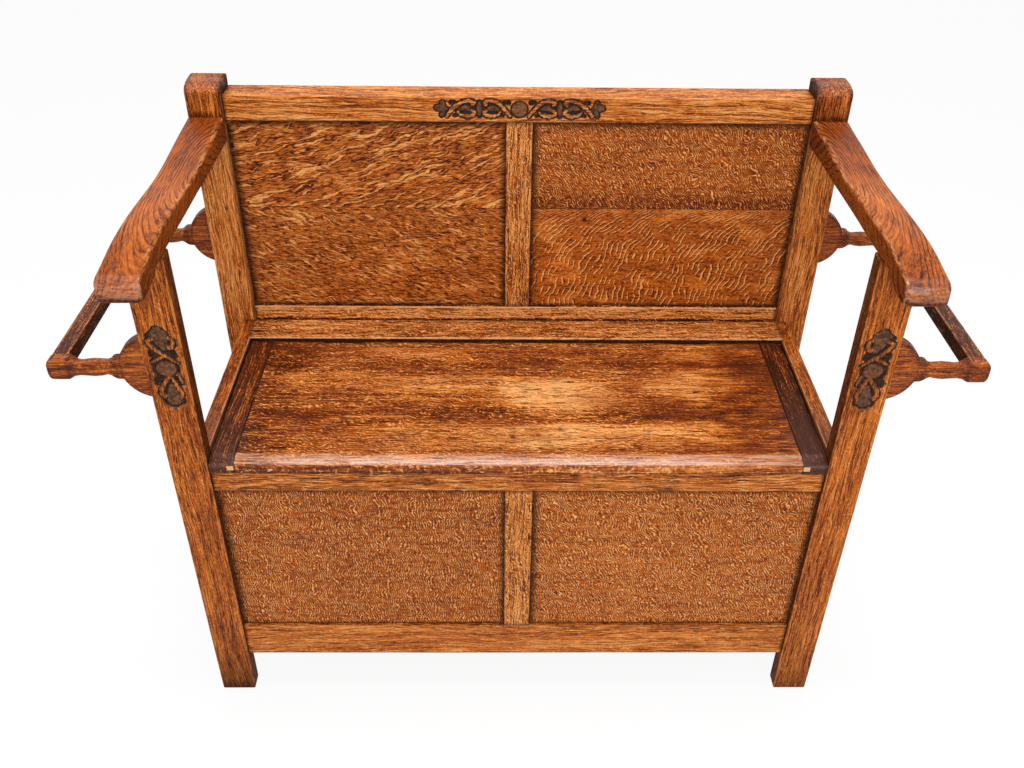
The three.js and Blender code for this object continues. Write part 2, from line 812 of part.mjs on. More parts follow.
const bracketRows = [
  ['front', frontY + frontPostDepth / 2, 1],
  ['back', backY + backPostDepth / 2, -1],
];
const barRun = [];
for (const [row, middleY, inward] of bracketRows) {
  const outerFace = middleY - inward * bracketThickness / 2;
  const barEnd = outerFace + inward * barFrontWall;
  const slotEnd = middleY + inward * (bracketThickness / 2 + haunch);
  barRun.push(barEnd + inward * fit);
  for (const [side, hand] of [[-1, 'left'], [1, 'right']]) {
    const outline = bracketOutline.map(([x, z]) => [side * x, z]);
    const slot = box(
      grown(across(side, barInner, barOuter), fit),
      [Math.min(barEnd, slotEnd), Math.max(barEnd, slotEnd)],
      [barBase - fit, blockTop + haunch],
    );
    place(`bracket_${row}_${hand}`, oakStand, worked(
      alongY(outline, [middleY - bracketThickness / 2, middleY + bracketThickness / 2]),
      [bracketStub(side, middleY, 0)],
      [slot],
    ));
  }
}

// Stick bars: one each side, let into the blocks of a front and a back bracket
for (const [side, hand] of [[-1, 'left'], [1, 'right']]) {
  place(`stick_bar_${hand}`, oakStand, box(across(side, barInner, barOuter), barRun, [barBase, blockTop]));
}

export default bench;
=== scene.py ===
import math

import bpy
import numpy as np
from mathutils import Matrix, Vector, noise


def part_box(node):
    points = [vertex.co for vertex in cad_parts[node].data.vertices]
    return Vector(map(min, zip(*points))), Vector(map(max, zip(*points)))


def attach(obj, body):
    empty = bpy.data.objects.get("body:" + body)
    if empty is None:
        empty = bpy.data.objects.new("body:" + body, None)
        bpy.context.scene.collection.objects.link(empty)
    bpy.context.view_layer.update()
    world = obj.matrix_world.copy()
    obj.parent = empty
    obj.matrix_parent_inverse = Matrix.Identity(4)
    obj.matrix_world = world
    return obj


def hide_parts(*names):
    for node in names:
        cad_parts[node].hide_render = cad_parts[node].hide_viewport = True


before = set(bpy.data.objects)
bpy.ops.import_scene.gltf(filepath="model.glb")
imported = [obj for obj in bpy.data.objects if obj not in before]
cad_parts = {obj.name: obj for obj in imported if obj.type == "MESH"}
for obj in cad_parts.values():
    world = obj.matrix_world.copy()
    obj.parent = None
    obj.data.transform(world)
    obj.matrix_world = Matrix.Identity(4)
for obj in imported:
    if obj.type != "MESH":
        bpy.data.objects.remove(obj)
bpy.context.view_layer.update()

MM = 0.001

# Camera: above the front edge of the seat, looking down on the bench.
# Its place, aim and lens were fitted to the straight edges of the bench in the photo.
lens_mm = 35.34
camera_place = Vector((-0.02827, -1.17559, 1.33620))
camera_pitch, camera_yaw, camera_roll = (math.radians(a) for a in (-35.714, -0.941, -0.746))

camera_data = bpy.data.cameras.new("camera")
camera_data.lens = lens_mm
camera_data.sensor_width = 36
camera = bpy.data.objects.new("camera", camera_data)
camera.matrix_world = (
    Matrix.Translation(camera_place)
    @ Matrix.Rotation(camera_yaw, 4, "Z")
    @ Matrix.Rotation(camera_pitch + math.pi / 2, 4, "X")
    @ Matrix.Rotation(camera_roll, 4, "Z").inverted()
)
bpy.context.scene.collection.objects.link(camera)
bpy.context.scene.camera = camera


# Front posts: oak, sawn and planed from straight-grained stuff, their arrises worn round.
# A strap and leaf pattern is cut into the face below each arm, round a domed boss.
post_arris = 2.2 * MM
post_cell = 22 * MM
arm_tenon_height = 14 * MM
carving_depth = 2.5 * MM
carving_step = 0.75 * MM
foot_height = 4.5 * MM
foot_rounding = 2 * MM
post_carving_centre = 0.624
post_carving_half_length = 62 * MM
post_carving_half_width = 19 * MM


def wander(points, size, seed):
    """A smooth value from 0 to 1 for each point, changing over about the given size"""
    place = Vector((seed * 3.7, seed * 1.3, seed * 2.1))
    return np.array([noise.noise(Vector(p) / size + place) for p in points]) * 0.5 + 0.5


def piece_of(name, points, faces, smoothed):
    """An object with the given mesh, each of its faces smoothed or flat"""
    mesh = bpy.data.meshes.new(name)
    mesh.from_pydata(points, [], faces)
    mesh.polygons.foreach_set("use_smooth", smoothed)
    mesh.update()
    piece = bpy.data.objects.new(name, mesh)
    bpy.context.scene.collection.objects.link(piece)
    return piece


def divided(low, high, arris, cell, fine):
    """Places along one axis where a board's mesh is divided, closer at its arrises"""
    # A rounded arris has turned halfway at this share of its radius
    halfway_share, flat_margin = 0.586, 1.5 * MM
    near = [0, arris * halfway_share, arris, arris + flat_margin]
    start, end = low + near[-1], high - near[-1]
    count = max(1, round((end - start) / cell))
    plain = [start + (end - start) * i / count for i in range(count + 1)]
    if len(fine):
        plain = [p for p in plain if p < fine[0] - cell / 9 or p > fine[-1] + cell / 9]
    ends = [low + n for n in near[:-1]] + [high - n for n in near[:-1]]
    return np.array(sorted(ends + plain + list(fine)))


def board(name, low, high, arris, cell, seed, fine=((), (), ()), work=None, uneven=0.35 * MM):
    """A board with worn arrises: a lattice over a box, pulled in round its edges"""
    low, high = np.array(low), np.array(high)
    lines = [divided(low[i], high[i], arris, cell, fine[i]) for i in range(3)]
    grid = np.stack(np.meshgrid(*lines, indexing="ij"), axis=-1)
    skin = np.zeros(grid.shape[:3], bool)
    skin[[0, -1]] = True
    skin[:, [0, -1]] = True
    skin[:, :, [0, -1]] = True
    number = np.full(skin.shape, -1)
    number[skin] = np.arange(skin.sum())
    points = grid[skin]

    quads = []
    for axis in range(3):
        for end, flip in ((0, axis != 1), (-1, axis == 1)):
            face = np.take(number, end, axis)
            corners = [face[:-1, :-1], face[1:, :-1], face[1:, 1:], face[:-1, 1:]]
            if flip:
                corners.reverse()
            quads.append(np.stack([c.ravel() for c in corners], axis=1))

    round_over = (arris * (0.45 + 0.55 * wander(points, 0.07, seed)))[:, None]
    core = np.clip(points, low + round_over, high - round_over)
    out = points - core
    out /= np.linalg.norm(out, axis=1, keepdims=True)
    dip = (uneven * wander(points, 0.11, seed + 5))[:, None]
    points = core + out * (round_over - dip)
    if work:
        points = work(points)
    faces = np.concatenate(quads).tolist()
    return piece_of(name, points.tolist(), faces, [True] * len(faces))


def smooth(points, steps=8):
    """A curve through the points, with a number of steps from each to the next"""
    points = np.array(points, float)
    padded = np.vstack([2 * points[0] - points[1], points, 2 * points[-1] - points[-2]])
    curve = []
    for a, b, c, d in zip(padded, padded[1:], padded[2:], padded[3:]):
        for t in np.arange(steps) / steps:
            square, cube = 2 * a - 5 * b + 4 * c - d, 3 * b - a - 3 * c + d
            curve.append((2 * b + (c - a) * t + square * t * t + cube * t ** 3) / 2)
    return np.array(curve + [points[-1]])


def beyond(flat, strokes):
    """How far each point of the face lies outside the nearest stroke, given as (x, z, half width)"""
    nearest = np.full(len(flat), 1.0)
    for stroke in strokes:
        for x, z, half in smooth(stroke) * MM:
            nearest = np.minimum(nearest, np.hypot(flat[:, 0] - x, flat[:, 1] - z) - half)
    return nearest


def ease(value, low, high):
    t = np.clip((value - low) / (high - low), 0, 1)
    return t * t * (3 - 2 * t)


def carved(flat, straps, leaves, boss, pits):
    """Depth of the cutting and darkness of the stain at each point of a carved face"""
    margin, wall, knob = 1.6 * MM, 0.9 * MM, 3.2 * MM
    from_strap = beyond(flat, straps)
    from_leaf = beyond(flat, leaves)
    from_pit = beyond(flat, pits)
    x, z, half_x, half_z = (v * MM for v in boss)
    from_boss = (np.hypot((flat[:, 0] - x) / half_x, (flat[:, 1] - z) / half_z) - 1) * half_z
    ground = 1 - ease(np.minimum.reduce([from_strap, from_leaf, from_boss, from_pit]), margin, margin + wall)
    knobbed = wander(np.column_stack([flat, flat[:, 0] * 0]), knob, 31) - 0.5
    strap = 1 - ease(from_strap + knob * knobbed, -0.3 * wall, wall)
    leaf = (1 - ease(from_leaf, -0.4 * wall, wall)) * (1 - strap)
    dome = 1 - ease(from_boss, -0.2 * wall, 0.5 * wall)
    crown = np.clip(-from_boss / half_z, 0, 1) ** 0.5
    swell = np.clip(-from_leaf / (4 * MM), 0, 1) ** 0.5
    crease = 0.25 * (0.5 + 0.5 * np.sin(flat[:, 1] / MM * 1.9 + np.abs(flat[:, 0]) / MM * 1.2))
    leaf_height = 0.42 + 0.34 * swell - crease * swell
    height = np.maximum.reduce([strap * 0.93, leaf * leaf_height, dome * (0.45 + 0.55 * crown)])
    stain = ground * (1 - 0.84 * strap) * (1 - 0.45 * leaf) * (1 - 0.66 * dome)
    return carving_depth * ground * (1 - height), stain


# Strokes are (x, z, half width) from the boss, in millimetres
post_straps = [
    [(-10, 41, 2.2), (-14, 39.5, 2.4), (-15.5, 35.5, 2.4), (-11, 29, 2.4), (-3, 20.5, 2.2), (7, 13.5, 1.9),
     (16, 6, 1.5)],
    [(11, 43, 2.0), (14.3, 39.5, 2.4), (14.5, 33, 2.4), (11, 28.3, 2.2), (7, 29.5, 1.6)],
    [(2, 17, 1.6), (-6, 12.5, 1.9), (-14.5, 8.5, 1.7)],
    [(1, -15, 1.8), (-3, -21, 2.3), (-9, -30, 2.4), (-12.6, -39, 2.6), (-10, -45, 2.8)],
    [(4.5, -15, 1.6), (8, -25, 2.1), (11.5, -34, 2.3), (13.5, -41, 2.4), (11, -46.5, 2.2)],
    [(13, -11, 1.6), (15, -17, 1.6), (16.5, -24, 1.3)],
]
post_leaves = [
    [(-1.5, 54, 5), (-1.5, 47, 7.5), (0, 40, 8), (2, 33, 6), (3.5, 27, 3.5)],
    [(-8, 48, 4), (-3, 46, 5)],
    [(6, 48.5, 4.5), (2, 45, 5)],
    [(2.5, -29, 3), (1.5, -37, 5.5), (1.5, -46, 7.5), (2, -53, 5.5)],
    [(-4, -53, 3.5), (2, -54, 5), (8.5, -52, 3.5)],
]
post_boss = (0.3, -3, 12.4, 10.8)
post_pits = [
    [(0, 51, 7), (0, 44, 11), (0, 36, 11), (1, 28, 10)],
    [(0, 20, 12), (0, 8, 12.5), (0, -8, 12.5), (0, -18, 12)],
    [(1, -26, 9), (1, -36, 10.5), (1, -46, 11), (1, -52, 8)],
    [(-12.5, 47.5, 1.6), (-14.5, 46, 1.2)],
    [(-14, 23, 1.6), (-13.5, 18, 2.2), (-9.5, 16.5, 1.4)],
    [(13.5, 22, 1.8), (15, 17, 1.4)],
    [(-14.5, 2, 0.8), (-14.3, -6, 1.2)],
    [(15.5, 0, 0.6), (14.5, -6, 0.8)],
    [(-11, -16, 1.4), (-14.5, -21, 2.0), (-14.5, -25, 1.2)],
    [(10.5, -17, 1.2), (13.5, -26, 0.8)],
    [(13.5, -50, 1.4), (12, -53.5, 1.8)],
    [(-10, -51, 1.0), (-7, -55.5, 1.6)],
]


class Shade:
    """An output of a shader node: sums of it add Math nodes, and node() adds any other node"""

    def __init__(self, tree, output=None):
        self.tree = tree
        self.output = output

    def node(self, kind, settings, inputs, output=0):
        made = self.tree.nodes.new(kind)
        for name, value in settings.items():
            if name == "stops":
                stops = made.color_ramp.elements
                while len(stops) < len(value):
                    stops.new(1)
                for stop, (place, colour) in zip(stops, value):
                    stop.position = place
                    stop.color = (*colour, 1)
            else:
                setattr(made, name, value)
        for key, value in inputs.items():
            if isinstance(value, Shade):
                self.tree.links.new(value.output, made.inputs[key])
            else:
                made.inputs[key].default_value = value
        return Shade(self.tree, made.outputs[output] if made.outputs else None)

    def maths(self, operation, *terms):
        return self.node("ShaderNodeMath", {"operation": operation}, dict(enumerate(terms)))

    def __add__(self, other):
        return self.maths("ADD", self, other)

    def __sub__(self, other):
        return self.maths("SUBTRACT", self, other)

    def __rsub__(self, other):
        return self.maths("SUBTRACT", other, self)

    def __mul__(self, other):
        return self.maths("MULTIPLY", self, other)

    def __truediv__(self, other):
        return self.maths("DIVIDE", self, other)

    def __pow__(self, other):
        return self.maths("POWER", self, other)

    __radd__ = __add__
    __rmul__ = __mul__

    def __abs__(self):
        return self.maths("ABSOLUTE", self)

    def sine(self):
        return self.maths("SINE", self)

    def least(self, other):
        return self.maths("MINIMUM", self, other)

    def most(self, other):
        return self.maths("MAXIMUM", self, other)

    def rise(self, low, high):
        """0 below low, 1 above high and smooth between them"""
        return self.node(
            "ShaderNodeMapRange", {"interpolation_type": "SMOOTHSTEP"},
            {"Value": self, "From Min": low, "From Max": high},
        )

    def fade(self, width):
        """1 at 0, falling smoothly to 0 at the width"""
        return 1 - (self / width).rise(0.0, 1.0)

    def cloud(self, u, v, w, detail=2.0, rough=0.5):
        """Noise at the place (u, v, w)"""
        place = self.node("ShaderNodeCombineXYZ", {}, {0: u, 1: v, 2: w})
        return self.node(
            "ShaderNodeTexNoise", {},
            {"Vector": place, "Scale": 1.0, "Detail": detail, "Roughness": rough},
        )

    def mix(self, first, second):
        """The first colour where this value is 0, and the second where it is 1"""
        colours = [c if isinstance(c, Shade) else (*c, 1) for c in (first, second)]
        return self.node(
            "ShaderNodeMix", {"data_type": "RGBA"},
            {0: self, 6: colours[0], 7: colours[1]}, 2,
        )


def shader_of(owner):
    """The start of a new shader in a material or the world"""
    owner.use_nodes = True
    owner.node_tree.nodes.clear()
    return Shade(owner.node_tree)


def squiggles(amount, spacing=4.0, run=1.0, rise=0.0, curl=1.0):
    """Short wiry flecks that curl to and fro, each with a dark side of painted shade, as if raised. They lie
    across (run, rise).
    """
    def figure(u, v, w, start):
        swirl = start.cloud(u * 0.042, v * 0.042, w * 0.04, 1.0, 0.4) - 0.5
        twist = start.cloud(u * 0.15, v * 0.15, w * 0.1 + 2, 1.0) - 0.5
        jitter = start.cloud(u * 0.4, v * 0.4, w * 0.3 + 6, 1.0) - 0.5
        bend = swirl * (44 * curl) + twist * (14 * curl) + jitter * (5 * curl)
        turn = (u * run + v * rise) * (2 * math.pi / spacing) + bend
        wave = turn.sine()
        broken = start.cloud(u * 0.16, v * 0.16, w * 0.1 + 4, 1.0).rise(0.44, 0.54)
        other = start.cloud(u * 0.15, v * 0.15, w * 0.1 + 9, 1.0).rise(0.55, 0.62)
        pit = start.cloud(u * 0.42, v * 0.42, w * 0.3, 1.0).rise(0.56, 0.62)
        # The crest of each wave is a pale fleck; the dark trough beside it is painted shade
        light = wave.rise(0.4, 0.95) * (0.15 + 1.3 * broken)
        return (light - wave.rise(-0.3, -0.95) * 0.45 - other * 0.2 - pit * 0.45 - 0.02) * amount
    return figure


# Colours of the wood from its darkest to its palest, and of what lies in it and on it
oak_stops = [
    (0.06, (0.036, 0.008, 0.002)),
    (0.32, (0.190, 0.035, 0.006)),
    (0.50, (0.410, 0.092, 0.010)),
    (0.66, (0.645, 0.168, 0.018)),
    (0.88, (0.870, 0.340, 0.082)),
    (1.00, (0.910, 0.470, 0.170)),
]
pore_colour = (0.050, 0.011, 0.003)
red_wax = (0.23, 0.040, 0.012)
# Colour of dirt, and of painted shade where parts meet
shade_and_dirt_colour = (0.022, 0.008, 0.004)
rubbed_colour = (0.70, 0.27, 0.082)
dust_colour = (0.50, 0.36, 0.27)
cut_leaf_colours = (0.070, 0.028, 0.014), (0.215, 0.096, 0.048)
cut_ground_colours = (0.018, 0.008, 0.004), (0.070, 0.026, 0.011)


def oak(name, low, high, axes, seed, tone=0.0, figure=None, rings=None, wear=1.0, shade_and_dirt=(), dust=(),
        pore=1.0, contrast=1.0, patches=None, redness=0.0, gloss=0.42, carving=False, coat=0.05, shine=(),
        shaded_faces=(), bare=(), coat_rough=0.27):
    """Waxed oak. axes names the axis along the grain, the one across the face and the one through it.
    Faces are given as an axis and 0 for its low end or 1 for its high end, and widths in millimetres.
    grime darkens the wood toward a face with painted shade and dirt, and seams with painted shade toward a
    face from some depth below another. dust lies on one face beside another, and shine polishes near two
    faces. Each row of bare gives a share of the wood and its colour: wood the wax has left, dull and dried
    wood, painted highlight."""
    material = bpy.data.materials.new(name)
    start = shader_of(material)
    place = start.node("ShaderNodeTexCoord", {}, {}, "Object")
    in_mm = start.node("ShaderNodeVectorMath", {"operation": "SCALE"}, {0: place, "Scale": 1000.0})
    at = {a: start.node("ShaderNodeSeparateXYZ", {}, {0: in_mm}, a.upper()) for a in "xyz"}
    u, v, w = (at[a] for a in axes)
    shift = seed * 17.3

    # Growth rings seen edge on, their pores as short dark dashes, and broad lighter and darker cloud
    sway = start.cloud(u * 0.006 + shift, v * 0.022, w * 0.022) - 0.5
    kink = start.cloud(u * 0.045 + shift, v * 0.09, w * 0.09, 1.0) - 0.5
    ring = rings(u, v, w) + sway * 3 + kink * 0.4 if rings else v * 0.92 + w * 0.4 + sway * 20 + kink * 1.8
    growth = start.cloud(u * 0.003, ring * 0.20 + shift, 0.5, 1.5, 0.6)
    fibre = start.cloud(u * 0.021 + shift, ring * 0.74, w * 0.5, 2.0, 0.75)
    cloud = start.cloud(u * 0.010, v * 0.026 + shift, w * 0.02, 3.0, 0.55)
    dash = start.cloud(u * 0.06, ring * 0.86 + shift, w, 1.0, 0.5)
    scuff = start.cloud(u * 0.05, v * 0.12 + shift, w * 0.12, 3.0, 0.6)
    pores = dash.rise(0.57, 0.62) * (0.3 + growth.rise(0.60, 0.42) * 0.7) * pore
    level = (
        0.575 + tone
        + (growth.rise(0.38, 0.62) - 0.5) * (0.10 * contrast)
        - fibre.rise(0.49, 0.38) * (0.33 * contrast)
        + fibre.rise(0.53, 0.65) * (0.24 * contrast)
        + (cloud - 0.5) * (0.62 * min(contrast, 1))
    )
    marks = 0.0
    if patches:
        level = level + patches(u, v, w, start)
    if figure:
        marks = figure(u, v, w, start)
        level = level + marks * 0.36
    wood = level.node("ShaderNodeValToRGB", {"stops": oak_stops}, {0: level})
    colour = (pores * 0.8).mix(wood, pore_colour)
    if redness:
        tint = cloud.rise(0.62, 0.38) * redness
        colour = tint.mix(colour, red_wax)

    # Distances to the faces of the piece give its dark corners of painted shade and dirt, and its rubbed
    # arrises
    reach = {}
    for i, a in enumerate("xyz"):
        reach[a, 0] = at[a] - low[i] * 1000
        reach[a, 1] = high[i] * 1000 - at[a]
    dark = scuff * 0
    # Painted shade and dirt toward the faces where other parts meet or overhang the piece
    for a, end, width, strength in shade_and_dirt:
        dark = dark.most(reach[a, end].fade(width) * strength)
    # Painted shade over a face that lies in shade, from some depth below the arris of another face
    for a, end, width, strength, below, below_end, depth in shaded_faces:
        line = (1 - (reach[a, end] / width).rise(0.5, 1.0)) * reach[below, below_end].rise(1.2, depth)
        dark = dark.most(line * strength)
    if shade_and_dirt or shaded_faces:
        colour = (dark * (0.6 + 0.8 * scuff)).least(0.97).mix(colour, shade_and_dirt_colour)
    gap = [reach[a, 0].least(reach[a, 1]) for a in "xyz"]
    widest = gap[0].most(gap[1]).most(gap[2])
    narrowest = gap[0].least(gap[1]).least(gap[2])
    from_arris = gap[0] + gap[1] + gap[2] - widest - narrowest
    rubbed = (1 - from_arris.rise(0.3, 3.0)) * scuff.rise(0.42, 0.62) * (1 - dark * 0.7) * wear
    colour = (rubbed * 0.75).mix(colour, rubbed_colour)
    for a, end, b, b_end, width in dust:
        line = (1 - reach[a, end].rise(0.2, 1.6)) * reach[b, b_end].fade(width)
        colour = (line * scuff.rise(0.38, 0.55) * 0.8).mix(colour, dust_colour)
    # Shares of the wood recoloured: worn, dull and dried wood, and pale painted highlight
    for share, bare_colour in bare:
        colour = share(u, v, w, start).mix(colour, bare_colour)
    if carving:
        stain = start.node("ShaderNodeAttribute", {"attribute_name": "stain"}, {}, "Fac")
        grit = start.cloud(at["x"] * 0.24, at["y"] * 0.24, at["z"] * 0.24, 2.5, 0.6)
        leaf = grit.rise(0.34, 0.70).mix(*cut_leaf_colours)
        ground = grit.rise(0.4, 0.66).mix(*cut_ground_colours)
        colour = stain.rise(0.06, 0.42).mix(colour, leaf)
        colour = stain.rise(0.66, 0.90).mix(colour, ground)

    rough = gloss + (growth - 0.5) * 0.2 + (cloud - 0.5) * 0.22 + pores * 0.25 + dark * 0.4
    bump_height = (fibre - 0.5) * 0.8 - pores + marks * 0.3
    bump = start.node("ShaderNodeBump", {}, {"Strength": 0.8, "Distance": 0.0005, "Height": bump_height})
    polish = (1 - dark) * coat
    for a, end, width, b, b_end, b_width, amount in shine:
        near = reach[a, end].rise(width, width * 0.6) * reach[b, b_end].rise(b_width, b_width * 0.6)
        polish = near * scuff.rise(0.26, 0.46) * (1 - dark * 0.9) * amount + polish
    skin = start.node("ShaderNodeBsdfPrincipled", {}, {
        "Base Color": colour, "Roughness": rough, "Normal": bump,
        "Coat Weight": polish, "Coat Roughness": coat_rough, "Specular IOR Level": 0.09,
    })
    start.node("ShaderNodeOutputMaterial", {}, {"Surface": skin})
    return material


def fit(piece, material, body, slot, *nodes):
    """Finishes a piece and puts it in the place of its nodes"""
    piece.data.materials.append(material)
    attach(piece, body)
    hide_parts(*nodes)


stain_by_piece = {}
carved_face_depth = 3 * MM


def cut_in(points, flat, low, name, straps, leaves, boss, pits):
    """Cuts a pattern into the front of a piece and notes its stain"""
    depth, stain = carved(flat, straps, leaves, boss, pits)
    face = points[:, 1] < low.y + carved_face_depth
    stain_by_piece[name] = np.where(face, stain, 0)
    points[:, 1] += np.where(face, depth, 0)
    return points


def with_stain(piece):
    layer = piece.data.attributes.new("stain", "FLOAT", "POINT")
    layer.data.foreach_set("value", stain_by_piece[piece.name].astype(np.float32))


def footed(points, low, high):
    """Wears the lower end of a post round"""
    middle = np.array((low + high) / 2)[:2]
    half = np.array((high - low) / 2)[:2]
    share = np.clip(1 - points[:, 2] / foot_height, 0, 1) ** 2
    points[:, :2] -= (points[:, :2] - middle) / half * (share * foot_rounding)[:, None]
    return points


fine_grain = squiggles(0.32, 4.4, 0.15, 1.0)
foot_dirt = {"left": 0.62, "right": 0.38}
foot_end_dirt = {"left": 0.86, "right": 0.5}
for side, hand in ((-1, "left"), (1, "right")):
    low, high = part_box(f"front_post_{hand}")
    high.z -= arm_tenon_height
    name, seed = f"post_front_{hand}", 3 + side
    middle = (low.x + high.x) / 2
    half, rise_half = post_carving_half_width, post_carving_half_length
    fine = (
        np.arange(middle - half, middle + half, carving_step),
        (),
        np.arange(post_carving_centre - rise_half, post_carving_centre + rise_half, carving_step),
    )

    def cut(points, side=side, middle=middle, low=low, high=high, name=name):
        flat = np.stack([(points[:, 0] - middle) * -side, points[:, 2] - post_carving_centre], axis=1)
        cut_in(points, flat, low, name, post_straps, post_leaves, post_boss, post_pits)
        return footed(points, low, high)

    post = board(name, low, high, post_arris, post_cell, seed, fine, cut)
    with_stain(post)
    inward = 0 if side > 0 else 1
    # Painted shade darkens the top under the arm and the inner side face; the foot is darker toward the
    # floor
    finish = oak(
        f"oak post front {hand}", low, high, "zxy", seed, tone=-0.02, contrast=0.85, pore=1.1,
        shade_and_dirt=[("z", 1, 9, 0.75), ("z", 0, 185, foot_dirt[hand]), ("z", 0, 60, foot_end_dirt[hand])],
        carving=True, figure=fine_grain, shaded_faces=[("x", inward, 2, 0.75, "y", 0, 2.6)],
    )
    fit(post, finish, "frame", "oak_frame", f"front_post_{hand}")


# Back posts: taller and deeper, their tops rounded well over to the front.
# They stand behind the seat and take the back frame between them.
post_top_depth = 26 * MM
post_top_drop = 13 * MM
back_post_arris = 3.2 * MM
arm_joint_height = 815
back_post_tone = {"left": 0.16, "right": 0.13}


def turned(*angles):
    """Shares of a radius, from the edge, where a rounded corner has turned by each angle"""
    return 1 - np.tan(np.radians(angles))


def rounded_corner(flat, pivot, radii, way, fullness=2.0):
    """Pulls a square corner of flat points in to a round one. way gives the signs of its two sides."""
    out = (flat - pivot) / radii
    corner = (out * way > 0).all(axis=1)
    square = np.abs(out).max(axis=1)
    length = np.maximum((np.abs(out) ** fullness).sum(axis=1) ** (1 / fullness), 1e-9)
    pulled = pivot + out * (square / length)[:, None] * radii
    return np.where(corner[:, None], pulled, flat)


def rounded_front(points, low, high, radii, fullness=2.0):
    """Rounds the top front corner of a board, with the radii given back and down from it"""
    pivot = np.array([low.y, high.z]) + np.array(radii) * (1, -1)
    points[:, 1:] = rounded_corner(points[:, 1:], pivot, radii, (-1, 1), fullness)
    return points


def front_lines(low, high, radii, turns):
    """Where the mesh of a board is divided for that corner"""
    return (), low.y + turns * radii[0], np.sort(high.z - turns * radii[1])


for side, hand in ((-1, "left"), (1, "right")):
    low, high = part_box(f"back_post_{hand}")
    seed = 8 + side
    top_radii = (post_top_depth, post_top_drop)

    def round_top(points, low=low, high=high):
        return footed(rounded_front(points, low, high, top_radii), low, high)

    fine = front_lines(low, high, top_radii, turned(34, 28, 23, 17, 11, 6, 0))
    post = board(f"post_back_{hand}", low, high, back_post_arris, post_cell, seed, fine, round_top)
    inward = 0 if side > 0 else 1

    def darker_places(u, v, w, start, low=low, high=high):
        """Dark round the edges of the head, which stands above the arm, and down by the seat"""
        ragged = start.cloud(u * 0.04, v * 0.09, w * 0.09, 2.0).rise(0.3, 0.6)
        from_side = (v - low.x / MM).least(high.x / MM - v)
        from_top = high.z / MM - u
        from_arm = abs(u - arm_joint_height)
        edge = from_side.fade(11).most(from_top.fade(9) * 0.45).most(from_arm.fade(9) * 1.1)
        by_seat = u.rise(530.0, 490.0) * 0.13
        return u.rise(790.0, 815.0) * (edge * (0.4 + 0.6 * ragged) * -0.30 - 0.16) - by_seat

    finish = oak(
        f"oak post back {hand}", low, high, "zxy", seed, tone=back_post_tone[hand], contrast=1.1,
        shade_and_dirt=[("x", inward, 7, 0.75), ("z", 0, 95, 0.85)], patches=darker_places,
        shine=[("z", 1, 13, "y", 0, 34, 0.6)], figure=fine_grain,
    )
    fit(post, finish, "frame", "oak_frame", f"back_post_{hand}")


# Rails and muntins: planed oak, tenoned into the posts.
# Painted shade and dirt lie at their shoulders, and their arrises are rubbed pale.
rail_arris = 1.3 * MM
rail_cell = 24 * MM
post_left_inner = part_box("front_post_left")[1].x
post_right_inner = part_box("front_post_right")[0].x
side_run = (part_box("front_post_left")[1].y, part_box("back_post_left")[0].y)
shoulder_shade_and_dirt = [("x", 0, 6, 0.85), ("x", 1, 6, 0.85)]


def rail(node, seed, corners=(), figure=fine_grain, **finish):
    """A rail between the posts, from shoulder to shoulder"""
    low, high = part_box(node)
    low.x, high.x = post_left_inner, post_right_inner
    piece = board(f"rail_{node}", low, high, rail_arris, rail_cell, seed)
    material = oak(
        f"oak {node}", low, high, "xzy", seed, figure=figure, shade_and_dirt=shoulder_shade_and_dirt + list(corners), **finish,
    )
    fit(piece, material, "frame", "oak_frame", node)


hinge_board_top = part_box("hinge_board")[1].z / MM
hinge_board_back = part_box("hinge_board")[1].y / MM
ledge_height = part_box("back_seat_rail")[1].z / MM
panel_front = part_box("back_panel_left")[0].y / MM


def darker_ends(u, start):
    """The back rails are darker toward the posts, more so at the left"""
    ragged = start.cloud(u * 0.02, 3.0, 1.0, 2.0) - 0.5
    return (u.rise(-290.0, -400.0) + u.rise(250.0, 420.0) * 0.5 + ragged).rise(0.0, 1.0) * -0.09


def above_hinge_board(u, v, w, start):
    """Painted shade and dirt in the corner over the hinge board, and along the ledge under the panels"""
    corner = v.rise(hinge_board_top + 4.6, hinge_board_top + 1.2)
    corner = corner * w.rise(hinge_board_back + 5, hinge_board_back + 2)
    ledge = v.rise(ledge_height - 1.5, ledge_height - 0.5) * w.rise(panel_front - 5.5, panel_front - 3.5)
    return darker_ends(u, start) - corner * 0.75 - ledge * 0.6


def away(a, b):
    """How far a place lies from where both values are 0"""
    return (a ** 2.0 + b ** 2.0) ** 0.5


def arris_wear_and_highlight(edge_v, edge_w, amount):
    """A share of pale wood along the arris where v and w reach the given places: wear, and a painted
    highlight
    """
    def share(u, v, w, start):
        off = away(v - edge_v, w - edge_w)
        return off.rise(2.4, 1.1) * start.cloud(u * 0.04, 5.0, 2.0, 2.0).rise(0.34, 0.52) * amount
    return share


def bruised(u, v, w, start):
    """Small places along a rail where knocks have broken the wax"""
    return start.cloud(u * 0.09, v * 0.24, w * 0.2).rise(0.65, 0.69) * 0.6


bruises = [(bruised, (0.80, 0.42, 0.17))]
rail("front_seat_rail", 11, [("z", 1, 6, 0.9), ("z", 0, 2, 0.6)], tone=0.04, contrast=1.4, bare=bruises)
rail("front_bottom_rail", 12, [("z", 0, 4, 0.6)], tone=0.09, dust=[("z", 1, "y", 1, 3)], bare=bruises)
rail("back_seat_rail", 13, tone=0.24, dust=[("z", 1, "y", 0, 4)], contrast=1.8, patches=above_hinge_board,
     bare=[(arris_wear_and_highlight(ledge_height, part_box("back_seat_rail")[0].y / MM, 0.5), (0.86, 0.47, 0.22))],
     figure=squiggles(1.05, 6.5, 0.3, 1.0, 0.8))
rail("back_bottom_rail", 14, tone=-0.02)

